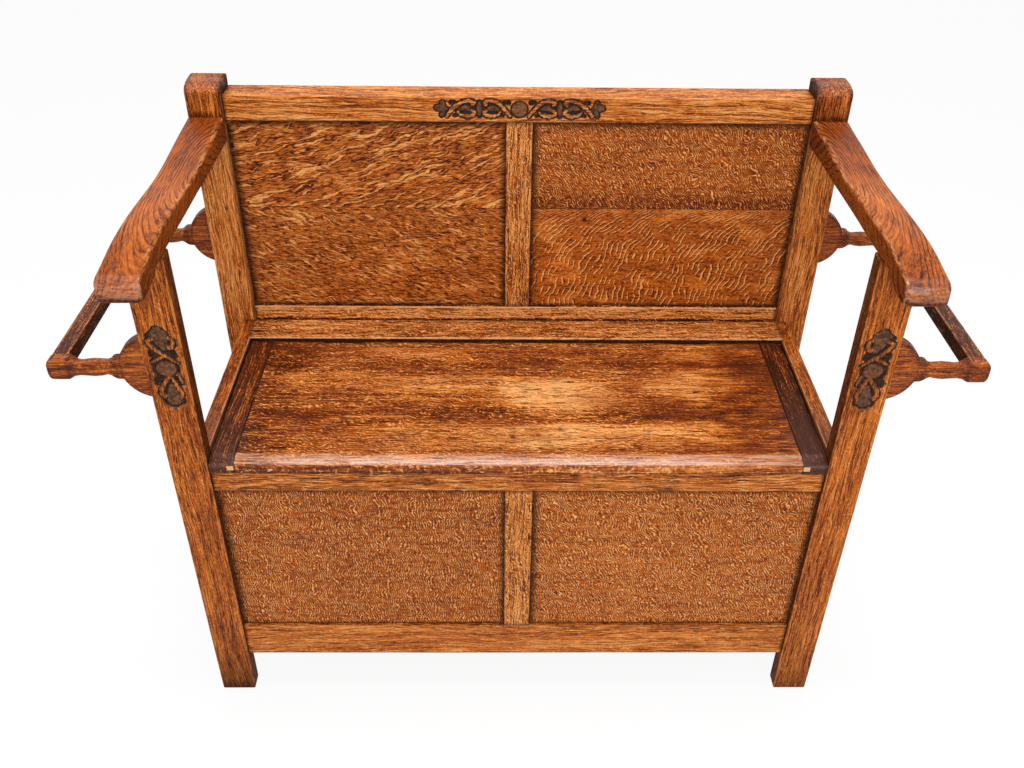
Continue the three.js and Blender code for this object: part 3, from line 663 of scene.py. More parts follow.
for node, lower, upper, seed, tone in (
    ("front_muntin", "front_bottom_rail", "front_seat_rail", 15, 0.10),
    ("back_muntin", "back_seat_rail", "top_rail", 16, 0.18),
):
    low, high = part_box(node)
    low.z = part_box(lower)[1].z
    high.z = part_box(upper)[0].z
    piece = board(f"muntin_{node}", low, high, rail_arris, rail_cell, seed)
    material = oak(
        f"oak {node}", low, high, "zxy", seed, tone=tone, contrast=1.5, figure=squiggles(1.1, 5, 0.35, 1.0),
        shade_and_dirt=[("z", 0, 8, 0.7), ("z", 1, 8, 0.7), ("x", 0, 1.6, 0.7), ("x", 1, 1.6, 0.7)],
    )
    fit(piece, material, "frame", "oak_frame", node)


# Top rail: thicker, with the strap and leaf pattern either side of a boss over the muntin.
# The strokes are for its right half, and the left is their mirror image.
top_carving_half = 126 * MM
top_carving_below = 13.5 * MM
top_carving_above = 15.5 * MM
top_carving_step = 0.8 * MM
top_half_straps = [
    [(13.5, -9, 2.0), (18.7, -2.3, 2.3), (24.2, 4.2, 2.4), (29.6, 9.3, 2.3), (36.5, 12.2, 2.3),
     (44, 12.6, 2.4), (49, 9.8, 2.4), (47, 7, 2.0)],
    [(27, -3.4, 1.2), (31, -7.6, 1.8), (38.6, -9.4, 2.0), (46.5, -8.4, 2.2), (50.2, -4.4, 2.2),
     (46.8, -1.6, 1.7)],
    [(87.5, -3.2, 1.2), (83, -7.5, 1.8), (75, -9.6, 2.0), (67, -8.6, 2.2), (63, -4.4, 2.2),
     (66.4, -1.6, 1.7)],
    [(66, 6.8, 2.0), (64, 9.8, 2.4), (68.5, 12.6, 2.4), (76, 12.4, 2.3), (84.2, 9, 2.3), (93, 2.5, 2.4),
     (98.9, -4, 2.3), (102, -9, 2.0)],
]
top_half_leaves = [
    [(30, 0, 1.2), (35, 1.8, 3.2), (40, 1.6, 3.2), (44, -0.5, 2.2)],
    [(83.5, 0, 1.2), (78, 1.8, 3.2), (73, 1.6, 3.2), (69.5, -0.5, 2.2)],
    [(56.8, 9, 1.4), (56.8, 3, 3.2), (56.8, -4, 2.6), (56.8, -9, 1.2)],
    [(104, 1, 2.6), (110, 2, 4.6), (116, 2.5, 3.4)],
    [(107, 5, 2.6), (108.5, 10, 2.8)],
    [(107, -2, 2.6), (109.5, -8, 2.6)],
]
top_half_pits = [
    [(29, 0, 2.5), (36, 2.5, 6.5), (44, 3, 6)],
    [(84.5, 0, 2.5), (77, 2.5, 6.5), (69, 3, 6)],
    [(56.5, 9.5, 3.2), (56.5, 0, 3.6), (56.5, -8, 3)],
    [(16, 10.5, 2.0), (21, 11, 1.0)],
    [(96, 10.5, 1.8), (92, 11.5, 0.8)],
    [(26, -7.5, 1.4), (23.5, -8.5, 0.8)],
    [(89, -7.5, 1.4), (92, -8.5, 0.8)],
]
top_boss = (-0.3, 0.4, 10.8, 10.8)

low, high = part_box("top_rail")
low.x, high.x = post_left_inner, post_right_inner
top_centre = 0.825
fine = (
    np.arange(-top_carving_half, top_carving_half, top_carving_step),
    (),
    np.arange(top_centre - top_carving_below, top_centre + top_carving_above, top_carving_step),
)


def with_mirror(strokes):
    return strokes + [[(-x, z, half) for x, z, half in stroke] for stroke in strokes]


def cut_top(points):
    flat = np.stack([points[:, 0], points[:, 2] - top_centre], axis=1)
    straps, leaves, pits = map(with_mirror, (top_half_straps, top_half_leaves, top_half_pits))
    return cut_in(points, flat, low, "rail_top", straps, leaves, top_boss, pits)


top_rail = board("rail_top", low, high, rail_arris, rail_cell, 17, fine, cut_top)
with_stain(top_rail)
finish = oak(
    "oak top rail", low, high, "xzy", 17, tone=0.11, contrast=1.2, carving=True, figure=fine_grain,
    shade_and_dirt=shoulder_shade_and_dirt + [("z", 0, 2.5, 0.8)],
)
fit(top_rail, finish, "frame", "oak_frame", "top_rail")


# Panels: thin quarter-sawn oak in the grooves of the frames, each back one of two boards.
# Their rays show as pale wavy flecks, and painted shade and dirt darken them where they meet the frame.
panel_cell = 14 * MM
panel_arris = 0.6 * MM
panel_unevenness = 0.5 * MM
panel_groove_depth = 5 * MM


def flecks(bearing, length, spacing, amount, low, high):
    """Ribbons that run along lines of equal bearing, each edged with a dark line of painted shade"""
    def figure(u, v, w, start):
        sway = start.cloud(u * 0.025, v * 0.04, w * 0.03, 2.0) - 0.5
        wobble = start.cloud(u * 0.11, v * 0.18, w * 0.1, 1.0) - 0.5
        across = bearing(u, v) + sway * 22 + wobble * 4
        fleck = start.cloud(u / length, across / spacing, 3.3, 1.5, 0.55)
        light = fleck.rise(low, high)
        # A dark rim of painted shade round each ribbon
        edge = fleck.rise(low - 0.06, low - 0.01) - light
        thin = start.cloud(u / length * 1.6, across / spacing * 2.3, 8.1, 1.0, 0.5) - 0.5
        wire = 1 - abs(thin).rise(0.015, 0.065)
        grit = start.cloud(u * 0.12, v * 0.62, w * 0.3, 1.0).rise(0.51, 0.60)
        flare = start.cloud(u * 0.022, v * 0.045, 6.4, 2.0).rise(0.56, 0.62)
        mark = light * 0.8 - edge.most(0.0) * 0.8 + wire * 0.65 - grit * 0.85 + flare * 0.3 - 0.15
        return mark * amount
    return figure


def fan(bearing, spacing, amount):
    """Thin rays along lines of equal bearing, each with a dark side of painted shade"""
    def figure(u, v, w, start):
        sway = start.cloud(u * 0.02, v * 0.03, w * 0.03, 2.0) - 0.5
        wobble = start.cloud(u * 0.10, v * 0.10, w * 0.1, 1.5) - 0.5
        turn = (bearing(u, v) + sway * 26 + wobble * 1.8) * (2 * math.pi / spacing)
        ray = turn.sine().rise(0.45, 0.95)
        # The dark side is painted shade, just beside each ray
        side = (turn - 1.1).sine().rise(0.45, 0.95)
        part = start.cloud(u * 0.045, v * 0.06, 0.2, 3.0, 0.6).rise(0.44, 0.54)
        patch = start.cloud(u * 0.016, v * 0.022, 5.2, 2.0).rise(0.56, 0.62)
        grit = start.cloud(u * 0.20, v * 0.55, w * 0.3, 1.0).rise(0.52, 0.62)
        return (ray * part * 1.2 - side * part * 0.65 + patch * 0.3 - grit * 0.55) * amount
    return figure


def shaded(figure, edge, width, strength):
    """A figure that is dark along an edge and clears above it"""
    def both(u, v, w, start):
        return figure(u, v, w, start) - (v - edge).fade(width) * strength
    return both


def knotted(figure, x, z):
    """A figure with a small dark knot at (x, z)"""
    def both(u, v, w, start):
        return figure(u, v, w, start) - away(u - x, v - z).rise(4.5, 2.0) * 1.1
    return both


def boards_of(upper, lower, joint):
    """Two boards edge to edge, each with its own figure, and the dark line of the joint"""
    def figure(u, v, w, start):
        top = v.rise(joint - 0.4, joint + 0.4)
        line = 1 - abs(v - joint).rise(0.3, 1.6)
        return top * upper(u, v, w, start) + (1 - top) * lower(u, v, w, start) - line * 0.5
    return figure


back_joint = 672.0
back_left_end = -414.0


def rising_bearing(u, v):
    along_board = u - back_left_end
    return v - along_board * 0.24 - along_board * along_board * 0.00034


def fan_bearing(u, v):
    depth = (back_joint + 11 - v).most(2.0)
    return u + depth.maths("LOGARITHM", depth, math.e) * 42


# What shows in each panel, and how much paler than the rest it is
panel_figures = {
    "front_panel_left": (squiggles(1.2, 3.5, 1.0, 0.1, 0.8), 0.0),
    "front_panel_right": (squiggles(1.3, 3.6, 0.9, 0.4, 0.85), 0.045),
    "back_panel_left": (boards_of(
        flecks(rising_bearing, 52, 5, 1.15, 0.56, 0.59),
        flecks(lambda u, v: v + u * 0.42, 26, 3.2, 1.1, 0.57, 0.61), back_joint,
    ), 0.02),
    "back_panel_right": (boards_of(
        shaded(squiggles(1.05, 3.5, 0.8, 0.6, 0.85), back_joint, 44, 0.5),
        knotted(fan(fan_bearing, 8.6, 1.25), 100, 654), back_joint,
    ), 0.0),
}

for seed, (node, (figure, paler)) in enumerate(panel_figures.items(), 21):
    low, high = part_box(node)
    piece = board(f"panel_{node}", low, high, panel_arris, panel_cell, seed, uneven=panel_unevenness)
    hidden = Vector((panel_groove_depth, 0, panel_groove_depth))
    # Painted shade and dirt along the edges against the frame, widest at the left and under the top rail
    corners = [("x", 0, 16, 0.9), ("x", 1, 13, 0.85), ("z", 0, 8, 0.85), ("z", 1, 16, 0.9)]
    material = oak(
        f"oak {node}", low + hidden, high - hidden, "xzy", seed, tone=paler - 0.015, figure=figure, wear=0.0,
        contrast=0.3, shade_and_dirt=corners, pore=0.4,
    )
    fit(piece, material, "frame", "oak_panel", node)

for node, seed, axes, slot in (
    ("back_lower_panel", 25, "xzy", "oak_inside"),
    ("side_panel_left", 26, "yzx", "oak_panel"),
    ("side_panel_right", 27, "yzx", "oak_panel"),
):
    low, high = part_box(node)
    piece = board(f"panel_{node}", low, high, panel_arris, panel_cell, seed, uneven=panel_unevenness)
    material = oak(
        f"oak {node}", low, high, axes, seed, tone=-0.05, figure=squiggles(0.9), wear=0.0, contrast=0.6,
    )
    fit(piece, material, "frame", slot, node)


# Side rails: one above and one below each side panel, tenoned front and back.
# The upper ones stand above the lid, dull along the top, with painted shade on the inner face where the lid
# meets them.
def dulled(amount, back=40.0):
    """A share of wood gone dull and grey toward the front, on pieces that run front to back"""
    def share(u, v, w, start):
        ragged = start.cloud(u * 0.05, v * 0.25, w * 0.25, 3.0, 0.65)
        return (u.rise(back, -150.0) + (ragged - 0.5) * 1.2).rise(0.1, 0.9) * amount
    return share


for node, seed in (("side_seat_rail_left", 31), ("side_seat_rail_right", 32), ("side_bottom_rail_left", 33),
                   ("side_bottom_rail_right", 34)):
    low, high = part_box(node)
    low.y, high.y = side_run
    piece = board(f"rail_{node}", low, high, rail_arris, rail_cell, seed)
    inward = 1 if node.endswith("left") else 0
    inner = (high if inward else low).x / MM
    top = high.z / MM
    material = oak(
        f"oak {node}", low, high, "yzx", seed, tone=-0.04 if inward else -0.01, figure=fine_grain,
        bare=[(dulled(0.65), (0.185, 0.080, 0.050)), (arris_wear_and_highlight(top, inner, 0.6), (0.72, 0.33, 0.15))],
        shade_and_dirt=[("y", 0, 12, 0.7), ("y", 1, 12, 0.8)], shaded_faces=[("x", inward, 3, 0.97, "z", 1, 7.5)],
    )
    fit(piece, material, "frame", "oak_frame", node)


# Box floor and its cleats: plain inside boards, never polished.
# They keep the shapes of their solids, because they show only when the lid is up.
def finish_solid(solid, material):
    """Gives a solid of the part its finish, and keeps its shape"""
    solid.data.materials.clear()
    solid.data.materials.append(material)


for node, seed, axes in (("box_floor", 41, "xyz"), ("floor_cleat_front", 42, "xzy"),
                         ("floor_cleat_back", 43, "xzy")):
    low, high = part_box(node)
    material = oak(f"oak {node}", low, high, axes, seed, tone=-0.02, gloss=0.7, contrast=0.8)
    finish_solid(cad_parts[node], material)


# Hinge board: a fixed strip behind the lid, housed in the side rails.
# Its front arris is pale with wear and a painted highlight, its front face carries painted shade, and
# painted shade and dirt lie along its back and ends.
low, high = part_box("hinge_board")
hinge_board = board("board_hinge", low, high, rail_arris, rail_cell, 44)
finish = oak(
    "oak hinge board", low, high, "xyz", 44, tone=0.10, contrast=1.9,
    figure=squiggles(1.05, 6.5, 0.3, 1.0, 0.8),
    shade_and_dirt=[("x", 0, 9, 0.8), ("x", 1, 9, 0.8), ("y", 1, 3, 0.95)], shaded_faces=[("y", 0, 4, 0.98, "z", 1, 3.2)],
    patches=lambda u, v, w, start: darker_ends(u, start) * 1.3,
    bare=[(arris_wear_and_highlight(low.y / MM, high.z / MM, 0.75), (0.86, 0.46, 0.21))],
)
fit(hinge_board, finish, "frame", "oak_frame", "hinge_board")


# Hinges: two steel butts with their screws, gone dark with age.
# They keep the shapes of their solids.
def old_steel():
    material = bpy.data.materials.new("old steel")
    start = shader_of(material)
    place = start.node("ShaderNodeTexCoord", {}, {}, "Object")
    at = [start.node("ShaderNodeSeparateXYZ", {}, {0: place}, a) * 1000 for a in "XYZ"]
    rust = start.cloud(at[0] * 0.3, at[1] * 0.3, at[2] * 0.3, 4.0, 0.6)
    rusty = rust.rise(0.42, 0.62)
    colour = rusty.mix((0.012, 0.007, 0.005), (0.026, 0.010, 0.005))
    bump = start.node("ShaderNodeBump", {}, {"Strength": 0.4, "Distance": 0.0003, "Height": rust})
    skin = start.node("ShaderNodeBsdfPrincipled", {}, {
        "Base Color": colour, "Metallic": 0.2 - rusty * 0.2,
        "Roughness": 0.6 + rust * 0.4, "Normal": bump, "Specular IOR Level": 0.08,
    })
    start.node("ShaderNodeOutputMaterial", {}, {"Surface": skin})
    return material


steel = old_steel()
for node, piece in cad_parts.items():
    if node.startswith(("hinge_fixed", "hinge_moving", "hinge_pin", "hinge_board_screw", "lid_screw")):
        finish_solid(piece, steel)


# Lid: the seat board with a clamp across each end, its front edge rounded to a nosing.
# Sitting has rubbed the polish off its middle, and the rest is dark with old wax.
lid_arris = 0.9 * MM
lid_cell = 16 * MM
joint_gap = 0.3 * MM
past_joint = Vector((30 * MM, 0, 0))
tongue_length = 9 * MM
tongue_depth = 12 * MM
tongue_proud = 0.25 * MM
tongue_thickness = 7 * MM
tongue_arris = 0.5 * MM
tongue_cell = 3 * MM
tongue_unevenness = 0.1 * MM
tongue_bottom = 459.5 * MM
nosing_radius = 5.5 * MM
nosing_depth = 17 * MM
nosing_fullness = 1.25
full_turn = turned(40, 34, 28, 23, 17, 11, 6, 0)


def lid_piece(name, low, high, seed):
    """A board of the lid, its top front arris rounded to the nosing, which is deeper than it is high"""
    radii = (nosing_depth, nosing_radius)
    fine = front_lines(low, high, radii, full_turn)
    return board(name, low, high, lid_arris, lid_cell, seed, fine,
                 lambda points: rounded_front(points, low, high, radii, nosing_fullness))


bare_oak = (0.82, 0.50, 0.22)
# Pale pink of a painted highlight on rolled edges
painted_sheen = (0.80, 0.43, 0.27)


def nosing_sheen(u, v, w, start):
    """A painted highlight: pale streaks of sheen along the roll of the nosing"""
    streak = start.cloud(u * 0.022, v * 0.5, w * 0.5 + 4.1, 3.0, 0.6)
    return v.rise(-135.0, -139.0) * w.rise(467.5, 469.5) * streak.rise(0.36, 0.62) * 0.65


def chipped(u, v, w, start):
    """Bare where the lower edge of the nosing is chipped, mostly at its left end"""
    place = start.cloud(u * 0.07, w * 0.16, 2.7, 2.0)
    low_edge = w.rise(455.0, 456.5) * w.rise(464.0, 462.0) * v.rise(-151.0, -153.5)
    worst = u.rise(-300.0, -360.0) * 0.09
    return low_edge * (place + worst).rise(0.675, 0.70) * 0.85


# Each patch is (x, y, half length, half width) in millimetres and how much paler it is
worn_patches = [
    (-100, 27, 200, 20, 0.26), (61, -2, 95, 38, 0.38), (254, 24, 90, 34, 0.26), (-67, -100, 170, 34, 0.22),
    (130, -100, 190, 34, 0.22), (265, 97, 50, 12, 0.20), (-165, 108, 90, 12, 0.18),
    (-111, -39, 100, 16, -0.16), (171, -56, 80, 14, -0.14), (-294, -44, 80, 20, -0.18),
    (-390, 0, 60, 150, -0.12), (370, 0, 100, 150, -0.24), (-350, 95, 55, 45, -0.20),
    (-355, -112, 45, 40, -0.20), (0, 75, 330, 14, -0.12), (220, -40, 110, 22, -0.12),
]


def beside_clamp(across):
    """The dark line of the joint between the seat board and a clamp"""
    joint = clamp_line["left"] / MM
    return 1 - abs(abs(across) + joint).rise(0.5, 2.4)


def seat_wear_and_shade(u, v, w, start):
    """Pale where it has been sat on, dark near the ends and the back, and even on the underside"""
    ragged = start.cloud(u * 0.016, v * 0.045, 0.0, 4.0, 0.65)
    front = w.rise(468.0, 464.0) * v.rise(-148.0, -152.0)
    upper = w.rise(454.5, 457.0)
    below = front * u.rise(120.0, -160.0)
    speck = start.cloud(u * 0.13, v * 0.22, 7.0, 1.0).rise(0.70, 0.74)
    wear = (ragged - 0.5) * 0.68 - 0.10 + v.rise(-130, -140) * 0.12 - beside_clamp(u) * 0.4 - speck * 0.5
    wear = wear - below * (0.02 + 0.22 * ragged.rise(0.4, 0.5)) + front * u.rise(0.0, 160.0) * 0.10
    # A painted shadow line along the foot of the front edge
    wear = wear - w.rise(457.5, 455.0) * v.rise(-151.0, -153.0) * 0.45
    for x, y, half_x, half_y, paler in worn_patches:
        off = ((u - x) / half_x) ** 2.0 + ((v - y) / half_y) ** 2.0 + (ragged - 0.5) * 3.0
        wear = wear + off.rise(1.5, 0.1) * upper * (paler * 1.2)
    return wear


def quiet_at_right(figure):
    """A figure that is fainter at the right, where the old wax is thick"""
    def both(u, v, w, start):
        return figure(u, v, w, start) * (1 - u.rise(150.0, 300.0) * 0.5)
    return both


clamp_line = {}
clamp_tone = {"left": -0.34, "right": -0.52}
clamp_dull = {"left": dulled(0.42, -40.0), "right": dulled(0.5, 120.0)}
dull_colour = (0.055, 0.022, 0.012)
for hand, seed in (("left", 51), ("right", 52)):
    low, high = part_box(f"lid_clamp_{hand}")
    clamp_line[hand] = high.x if hand == "left" else low.x
    piece = lid_piece(f"clamp_{hand}", low, high, seed)
    beyond_joint = (low, high + past_joint) if hand == "left" else (low - past_joint, high)
    material = oak(
        f"oak lid clamp {hand}", *beyond_joint, "yxz", seed, tone=clamp_tone[hand], contrast=1.7,
        redness=0.2, shade_and_dirt=[("x", 0 if hand == "left" else 1, 7, 0.9), ("y", 1, 6, 0.95)],
        gloss=0.34, coat=0.15, shine=[("y", 0, 24, "z", 1, 12, 0.7)], figure=squiggles(0.6, 4.4, 0.15, 1.0),
        patches=lambda u, v, w, start: beside_clamp(v) * -0.3, bare=[(clamp_dull[hand], dull_colour)],
    )
    fit(piece, material, "lid", "oak_lid", f"lid_clamp_{hand}")

    # The end of the tongue shows pale in the front edge of the clamp
    edge = clamp_line[hand]
    tongue_start = edge if hand == "right" else edge - tongue_length
    tongue_low = Vector((tongue_start, low.y - tongue_proud, tongue_bottom))
    tongue_high = tongue_low + Vector((tongue_length, tongue_depth, tongue_thickness))
    tongue = board(f"tongue_{hand}", tongue_low, tongue_high, tongue_arris, tongue_cell, seed + 4,
                   uneven=tongue_unevenness)
    pale = oak(
        f"oak tongue {hand}", tongue_low, tongue_high, "xzy", seed + 4, tone=0.3, wear=0.5, pore=0.3,
        bare=[(lambda u, v, w, start: start.cloud(u * 0.3, v * 0.3, w * 0.3).rise(0.2, 0.5), bare_oak)],
    )
    tongue.data.materials.append(pale)
    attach(tongue, "lid")

low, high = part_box("lid_board")
low.x, high.x = clamp_line["left"] + joint_gap, clamp_line["right"] - joint_gap
lid = lid_piece("seat_board", low, high, 53)
# Painted shade and dirt along the back edge, under the step up to the hinge board
finish = oak(
    "oak seat", low - past_joint, high + past_joint, "xyz", 53, tone=0.075, contrast=0.95, patches=seat_wear_and_shade,
    redness=0.3, gloss=0.34, figure=quiet_at_right(squiggles(0.95, 5.5, 0.2, 1.0, 0.7)), coat=0.2,
    pore=1.3, coat_rough=0.2, shade_and_dirt=[("y", 1, 5, 0.98)], shine=[("y", 0, 26, "z", 1, 5.5, 0.8)],
    bare=[(nosing_sheen, painted_sheen), (chipped, bare_oak)],
)
fit(lid, finish, "lid", "oak_lid", "lid_board")


# Arms: sawn from thick oak, dipped along the top and rolled over at the nose.
# The top shows the growth rings as nested arches and is polished by hands.
arm_arris = 5.5 * MM
arm_cell = 9 * MM
nose_radius = 15 * MM
nose_corner = 8 * MM
arm_thickness = 25 * MM
# Height of the top and of the underside at shares of the way from the back post to the nose
arm_top_shares = [(0, 815), (0.13, 810.5), (0.27, 805.3), (0.43, 802), (0.56, 803.8), (0.7, 805),
                  (0.8, 803.8), (0.88, 799.6), (0.95, 794.8), (1, 792)]
arm_under_shares = [(0, 777), (0.8, 777), (0.84, 774.2), (0.89, 769), (0.95, 766), (1, 766)]


def handled(u, v, w, start):
    """Paler along the middle of an arm, where a hand lies, and dark by the back post"""
    ragged = start.cloud(u * 0.014, v * 0.05, 2.0, 3.0, 0.6) - 0.5
    paler = u.rise(-190.0, -120.0) * u.rise(70.0, -20.0) * 0.08 - u.rise(80.0, 150.0) * 0.08
    under = w.rise(778.0, 772.0) * u.rise(-215.0, -225.0) * 0.25
    return paler + ragged * 0.26 - 0.10 - under


def nose_sheen(u, v, w, start):
    """A painted highlight: pale streaks of sheen on the roll of the nose"""
    streak = start.cloud(u * 0.2, v * 0.05, w * 0.3 + 6.0, 3.0, 0.6)
    roll = u.rise(-229.0, -233.0) * w.rise(770.0, 775.0) * w.rise(790.0, 786.0)
    return roll * streak.rise(0.36, 0.62) * 0.35


def ring_lines(rings, spacing, amount):
    """The edges of the growth rings as fine dark broken lines"""
    def figure(u, v, w, start):
        sway = start.cloud(u * 0.012, v * 0.03, w * 0.03, 2.0) - 0.5
        wobble = start.cloud(u * 0.09, v * 0.16, w * 0.1, 1.0) - 0.5
        turn = (rings(u, v, w) + sway * 9 + wobble * 1.2) * (2 * math.pi / spacing)
        line = turn.sine().rise(0.2, 0.95)
        part = start.cloud(u * 0.03, v * 0.06, w * 0.1, 2.0).rise(0.42, 0.56)
        return (0.25 - line * (0.3 + 0.8 * part)) * amount
    return figure


def along(shares, where):
    """Height at each share of the way along an arm"""
    curve = smooth(shares, 6)
    return np.interp(where, curve[:, 0], curve[:, 1]) * MM


for side, hand in ((-1, "left"), (1, "right")):
    box_low, box_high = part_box(f"arm_{hand}")
    back = side_run[1]
    run = back - box_low.y
    flat_low, flat_high = (box_low.x, 0, 0), (box_high.x, run, arm_thickness)
    steps = nose_radius * full_turn
    turns = nose_corner * turned(40, 30, 20, 10, 0)
    plan = np.concatenate([flat_low[0] + turns, np.sort(flat_high[0] - turns)])
    fine = (plan, np.sort(run - steps), np.sort(arm_thickness - steps))

    def bend(points, back=back, run=run, flat_low=flat_low, flat_high=flat_high):
        pivot = np.array([run, arm_thickness]) - nose_radius
        points[:, 1:] = rounded_corner(points[:, 1:], pivot, nose_radius, (1, 1))
        for x_pivot, way in ((flat_low[0] + nose_corner, -1), (flat_high[0] - nose_corner, 1)):
            pivot = (x_pivot, run - nose_corner)
            points[:, :2] = rounded_corner(points[:, :2], pivot, nose_corner, (way, 1))
        share = points[:, 1] / run
        top, under = along(arm_top_shares, share), along(arm_under_shares, share)
        points[:, 2] = under + (top - under) * points[:, 2] / arm_thickness
        points[:, 1] = back - points[:, 1]
        return points

    seed = 61 + side
    piece = board(f"armrest_{hand}", flat_low, flat_high, arm_arris, arm_cell, seed, fine, bend)
    piece.data.flip_normals()
    inner = (box_high.x if side < 0 else box_low.x) / MM

    def arches(u, v, w, inner=inner):
        return (((u - 40) * 0.2) ** 2.0 + (v - inner) ** 2.0 + 0.01) ** 0.5 + w * 0.3

    def rubbed_arris(u, v, w, start, inner=inner):
        off = abs(v - inner)
        ragged = start.cloud(u * 0.05, v * 0.3, w * 0.2, 3.0, 0.65)
        return off.rise(0.2, 1.2) * off.rise(9.0, 3.0) * ragged.rise(0.46, 0.60) * 0.5

    lowest, highest = arm_under_shares[-1][1] * MM, arm_top_shares[0][1] * MM
    material = oak(
        f"oak arm {hand}", (box_low.x, box_low.y, lowest), (box_high.x, back, highest), "yxz", seed,
        tone=-0.05, rings=arches, contrast=0.42, pore=0.6, gloss=0.34, coat=0.08,
        figure=ring_lines(arches, 3.6, 0.6),
        shade_and_dirt=[("y", 1, 9, 0.9), ("z", 0, 4, 0.8), ("x", 1 if side < 0 else 0, 4, 0.4)], patches=handled,
        shine=[("y", 0, 18, "z", 1, 38, 1.0)], bare=[(rubbed_arris, (0.74, 0.31, 0.105)), (nose_sheen, painted_sheen)],
    )
    fit(piece, material, "frame", "oak_frame", f"arm_{hand}")


# Brackets: fretted from board, a half disc on the post, a waisted neck and a block for the bar.
# The edges of the neck are rounded over further than the rest.
def plate(name, outline, y_low, y_high, rounding):
    """A board sawn to an outline of (x, z), its edges rounded over as far as given for each point"""
    outline = np.array(outline)
    count = len(outline)
    ahead, behind = np.roll(outline, -1, axis=0), np.roll(outline, 1, axis=0)
    run = ahead - behind
    inward = np.stack([-run[:, 1], run[:, 0]], axis=1) / np.linalg.norm(run, axis=1, keepdims=True)
    rings = [(rounding + rim_margin, y_low + rounding * 0)]
    for angle in np.radians([0, 22, 45, 68, 90]):
        rings.append((rounding * (1 - math.sin(angle)), y_low + rounding * (1 - math.cos(angle))))
    rings += [(inset, y_low + y_high - y) for inset, y in reversed(rings)]
    points = []
    for inset, y in rings:
        ring = outline + inward * inset[:, None]
        points += [(x, place, z) for (x, z), place in zip(ring, y)]
    faces = []
    for r in range(len(rings) - 1):
        for i in range(count):
            j = (i + 1) % count
            faces.append((r * count + i, r * count + j, (r + 1) * count + j, (r + 1) * count + i))
    last = (len(rings) - 1) * count
    faces.append(tuple(reversed(range(count))))
    faces.append(tuple(range(last, last + count)))
    return piece_of(name, points, faces, [True] * (len(faces) - 2) + [False] * 2)


rim_margin = 1.2 * MM
disc_inset, disc_centre, disc_radius = 10.8, 619.5, 44.8
disc_housing = 6.0
disc_top_angle, disc_base_angle = math.radians(15), math.radians(21)
sawn_rounding = 3 * MM
neck_rounding = 6 * MM
# (distance from the post, height) along the top of the neck and block, and back along the base
neck_top = [(34, 631), (39, 631), (43, 629.5), (46.5, 626), (51, 624.8), (58, 625.4), (66, 626), (74, 625.2),
            (82, 624), (87, 624.6), (91, 627), (95, 629), (97.5, 630.4), (104, 630.6), (112, 630.6),
            (118, 630.2), (121.5, 628), (123, 624), (123.6, 617)]
neck_base = [(123.4, 610), (122, 605.5), (119, 602.8), (112, 602.6), (104, 602.6), (98, 602.8), (95, 604.4),
             (91, 606.4), (84, 607.4), (74, 606.8), (65, 606), (56, 607), (49, 609), (45, 608.2), (42, 606),
             (38, 603.8), (34, 603.4)]


def disc_rim(first, last):
    """Points (distance from the post, height) round the half disc from one angle to another"""
    return [(disc_radius * math.cos(a) - disc_inset, disc_centre + disc_radius * math.sin(a))
            for a in np.linspace(first, last, 12)]


for row, seed in (("front", 71), ("back", 76)):
    for side, hand in ((-1, "left"), (1, "right")):
        node = f"bracket_{row}_{hand}"
        low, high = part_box(node)
        post_low, post_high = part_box(f"{row}_post_{hand}")
        outer = post_high.x if side > 0 else post_low.x
        start_angle = math.acos(disc_inset / disc_radius)
        upper, lower = disc_rim(start_angle, disc_top_angle), disc_rim(-disc_base_angle, -start_angle)
        housed_top, housed_base = [(-disc_housing, z) for z in (upper[0][1], lower[-1][1])]
        rim = [housed_top] + upper + neck_top + neck_base + lower + [housed_base]
        outline = [(outer + side * x * MM, z * MM) for x, z in rim]
        if side > 0:
            outline.reverse()
        from_post = np.array([(x - outer) * side / MM for x, _ in outline])
        on_neck = ease(from_post, 42, 50) * (1 - ease(from_post, 88, 96))
        rounding = sawn_rounding + (neck_rounding - sawn_rounding) * on_neck
        piece = plate(f"stand_{row}_{hand}", outline, low.y, high.y, rounding)

        def fretted(u, v, w, start, outer=outer / MM, side=side):
            out = (u - outer) * side
            from_centre = away(out + disc_inset, v - disc_centre)
            ragged = start.cloud(u * 0.05, v * 0.09, w * 0.09, 3.0, 0.6)
            rim = from_centre.rise(disc_radius - 7, disc_radius) * out.rise(35.0, 31.0)
            neck = out.rise(32.0, 37.0) * out.rise(46.0, 40.0) + out.rise(88.0, 94.0) * out.rise(101.0, 97.0)
            end = out.rise(116.0, 123.0)
            worst = (rim * 0.3).most(neck * 0.26).most(end * 0.4)
            return (ragged - 0.5) * 0.35 - worst * ragged.rise(0.3, 0.6)

        material = oak(
            f"oak {node}", low, high, "xzy", seed + side, tone=-0.11, contrast=0.8, wear=0.7,
            coat=0.14, redness=0.15, patches=fretted, figure=fine_grain,
            shade_and_dirt=[("x", 0 if side > 0 else 1, 12, 0.5)],
        )
        fit(piece, material, "frame", "oak_stand", node)


# Stick bars: one each side, let into the blocks of a front and a back bracket.
# They are dark with old wax, and have dried out in streaks.
def dried(u, v, w, start):
    """Streaks where the bar has dried out"""
    return start.cloud(u * 0.04, v * 0.3, w * 0.3, 3.0).rise(0.6, 0.68) * 0.4


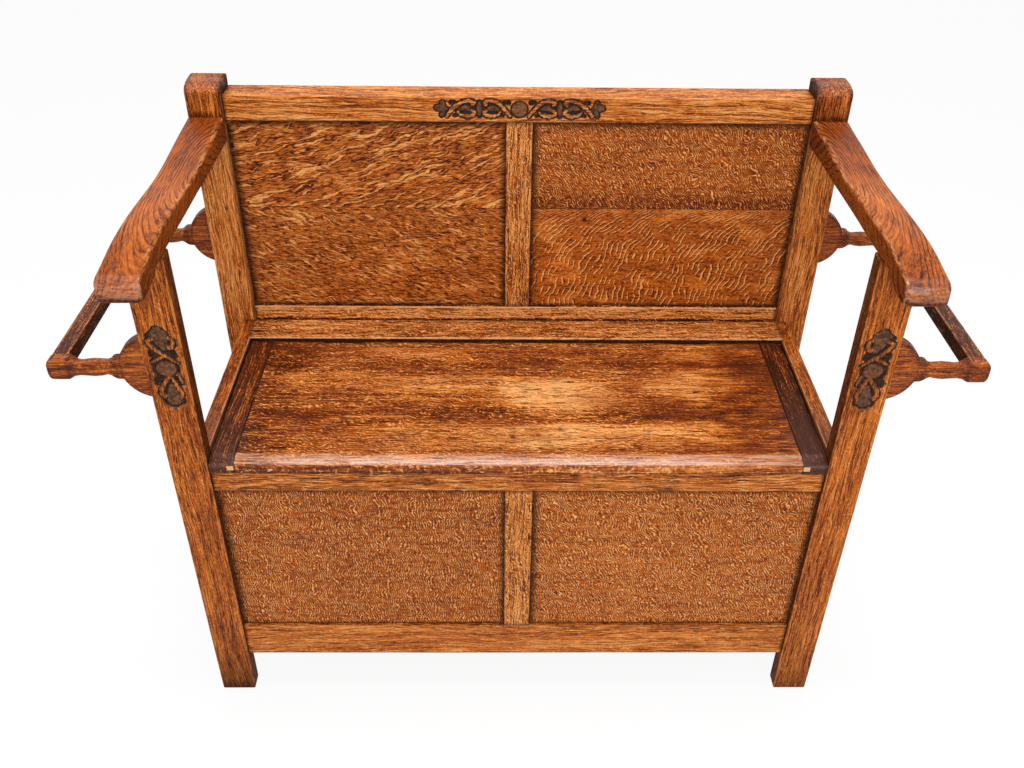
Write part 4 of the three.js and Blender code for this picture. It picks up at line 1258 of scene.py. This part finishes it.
bar_arris = 1.2 * MM
for hand, seed in (("left", 81), ("right", 82)):
    low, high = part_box(f"stick_bar_{hand}")
    piece = board(f"bar_{hand}", low, high, bar_arris, rail_cell, seed)
    inward = 1 if hand == "left" else 0
    # Painted shade on the inner side face
    material = oak(
        f"oak bar {hand}", low, high, "yxz", seed, tone=-0.36, contrast=1.5, coat=0.2,
        figure=squiggles(0.7, 5, 0.1, 1.0), bare=[(dried, (0.36, 0.20, 0.11))],
        shaded_faces=[("x", inward, 2.5, 0.8, "z", 1, 2.6)],
    )
    fit(piece, material, "frame", "oak_stand", f"stick_bar_{hand}")


# Floor, light and background: a white studio with one lamp overhead and one in front.
# The camera sees the floor nearly as white as the background. Other light meets it as pale matt.
def met_by_view(start):
    """1 on the rays that meet the white background: the camera's, and those mirrored or let through"""
    kinds = ("Camera", "Glossy", "Transmission")
    seen, glossy, through = (start.node("ShaderNodeLightPath", {}, {}, f"Is {kind} Ray") for kind in kinds)
    return seen.most(glossy).most(through)


floor_half = 9.0
corners = [(x * floor_half, y * floor_half, 0) for x, y in ((-1, -1), (1, -1), (1, 1), (-1, 1))]
floor = piece_of("floor", corners, [(0, 1, 2, 3)], [False])
floor_material = bpy.data.materials.new("pale floor")
start = shader_of(floor_material)
matt = start.node("ShaderNodeBsdfDiffuse", {}, {"Color": (0.82, 0.82, 0.82, 1)})
faint = start.node("ShaderNodeBsdfDiffuse", {}, {"Color": (0.13, 0.13, 0.13, 1)})
glow = start.node("ShaderNodeEmission", {}, {"Color": (1, 1, 1, 1), "Strength": 0.895})
lit = start.node("ShaderNodeAddShader", {}, {0: faint, 1: glow})
both = start.node("ShaderNodeMixShader", {}, {0: met_by_view(start), 1: matt, 2: lit})
start.node("ShaderNodeOutputMaterial", {}, {"Surface": both})
floor.data.materials.append(floor_material)

world = bpy.data.worlds.new("studio")
bpy.context.scene.world = world
start = shader_of(world)
room = start.node("ShaderNodeBackground", {}, {"Color": (1, 1, 1, 1), "Strength": 0.52})
white = start.node("ShaderNodeBackground", {}, {"Color": (1, 1, 1, 1), "Strength": 1.0})
sky = start.node("ShaderNodeMixShader", {}, {0: met_by_view(start), 1: room, 2: white})
start.node("ShaderNodeOutputWorld", {}, {"Surface": sky})


def lamp(name, place, target, size, power):
    data = bpy.data.lights.new(name, "AREA")
    data.shape = "RECTANGLE"
    data.size, data.size_y = size
    data.energy = power
    light = bpy.data.objects.new(name, data)
    light.location = place
    light.rotation_euler = (Vector(target) - Vector(place)).to_track_quat("-Z", "Y").to_euler()
    bpy.context.scene.collection.objects.link(light)


lamp("overhead", (0, 0.05, 2.6), (0, 0, 0.4), (1.5, 0.9), 27)
lamp("front", (0.3, -2.6, 1.9), (0, 0, 0.45), (2.2, 1.4), 34)

bpy.context.scene.view_settings.view_transform = "Standard"
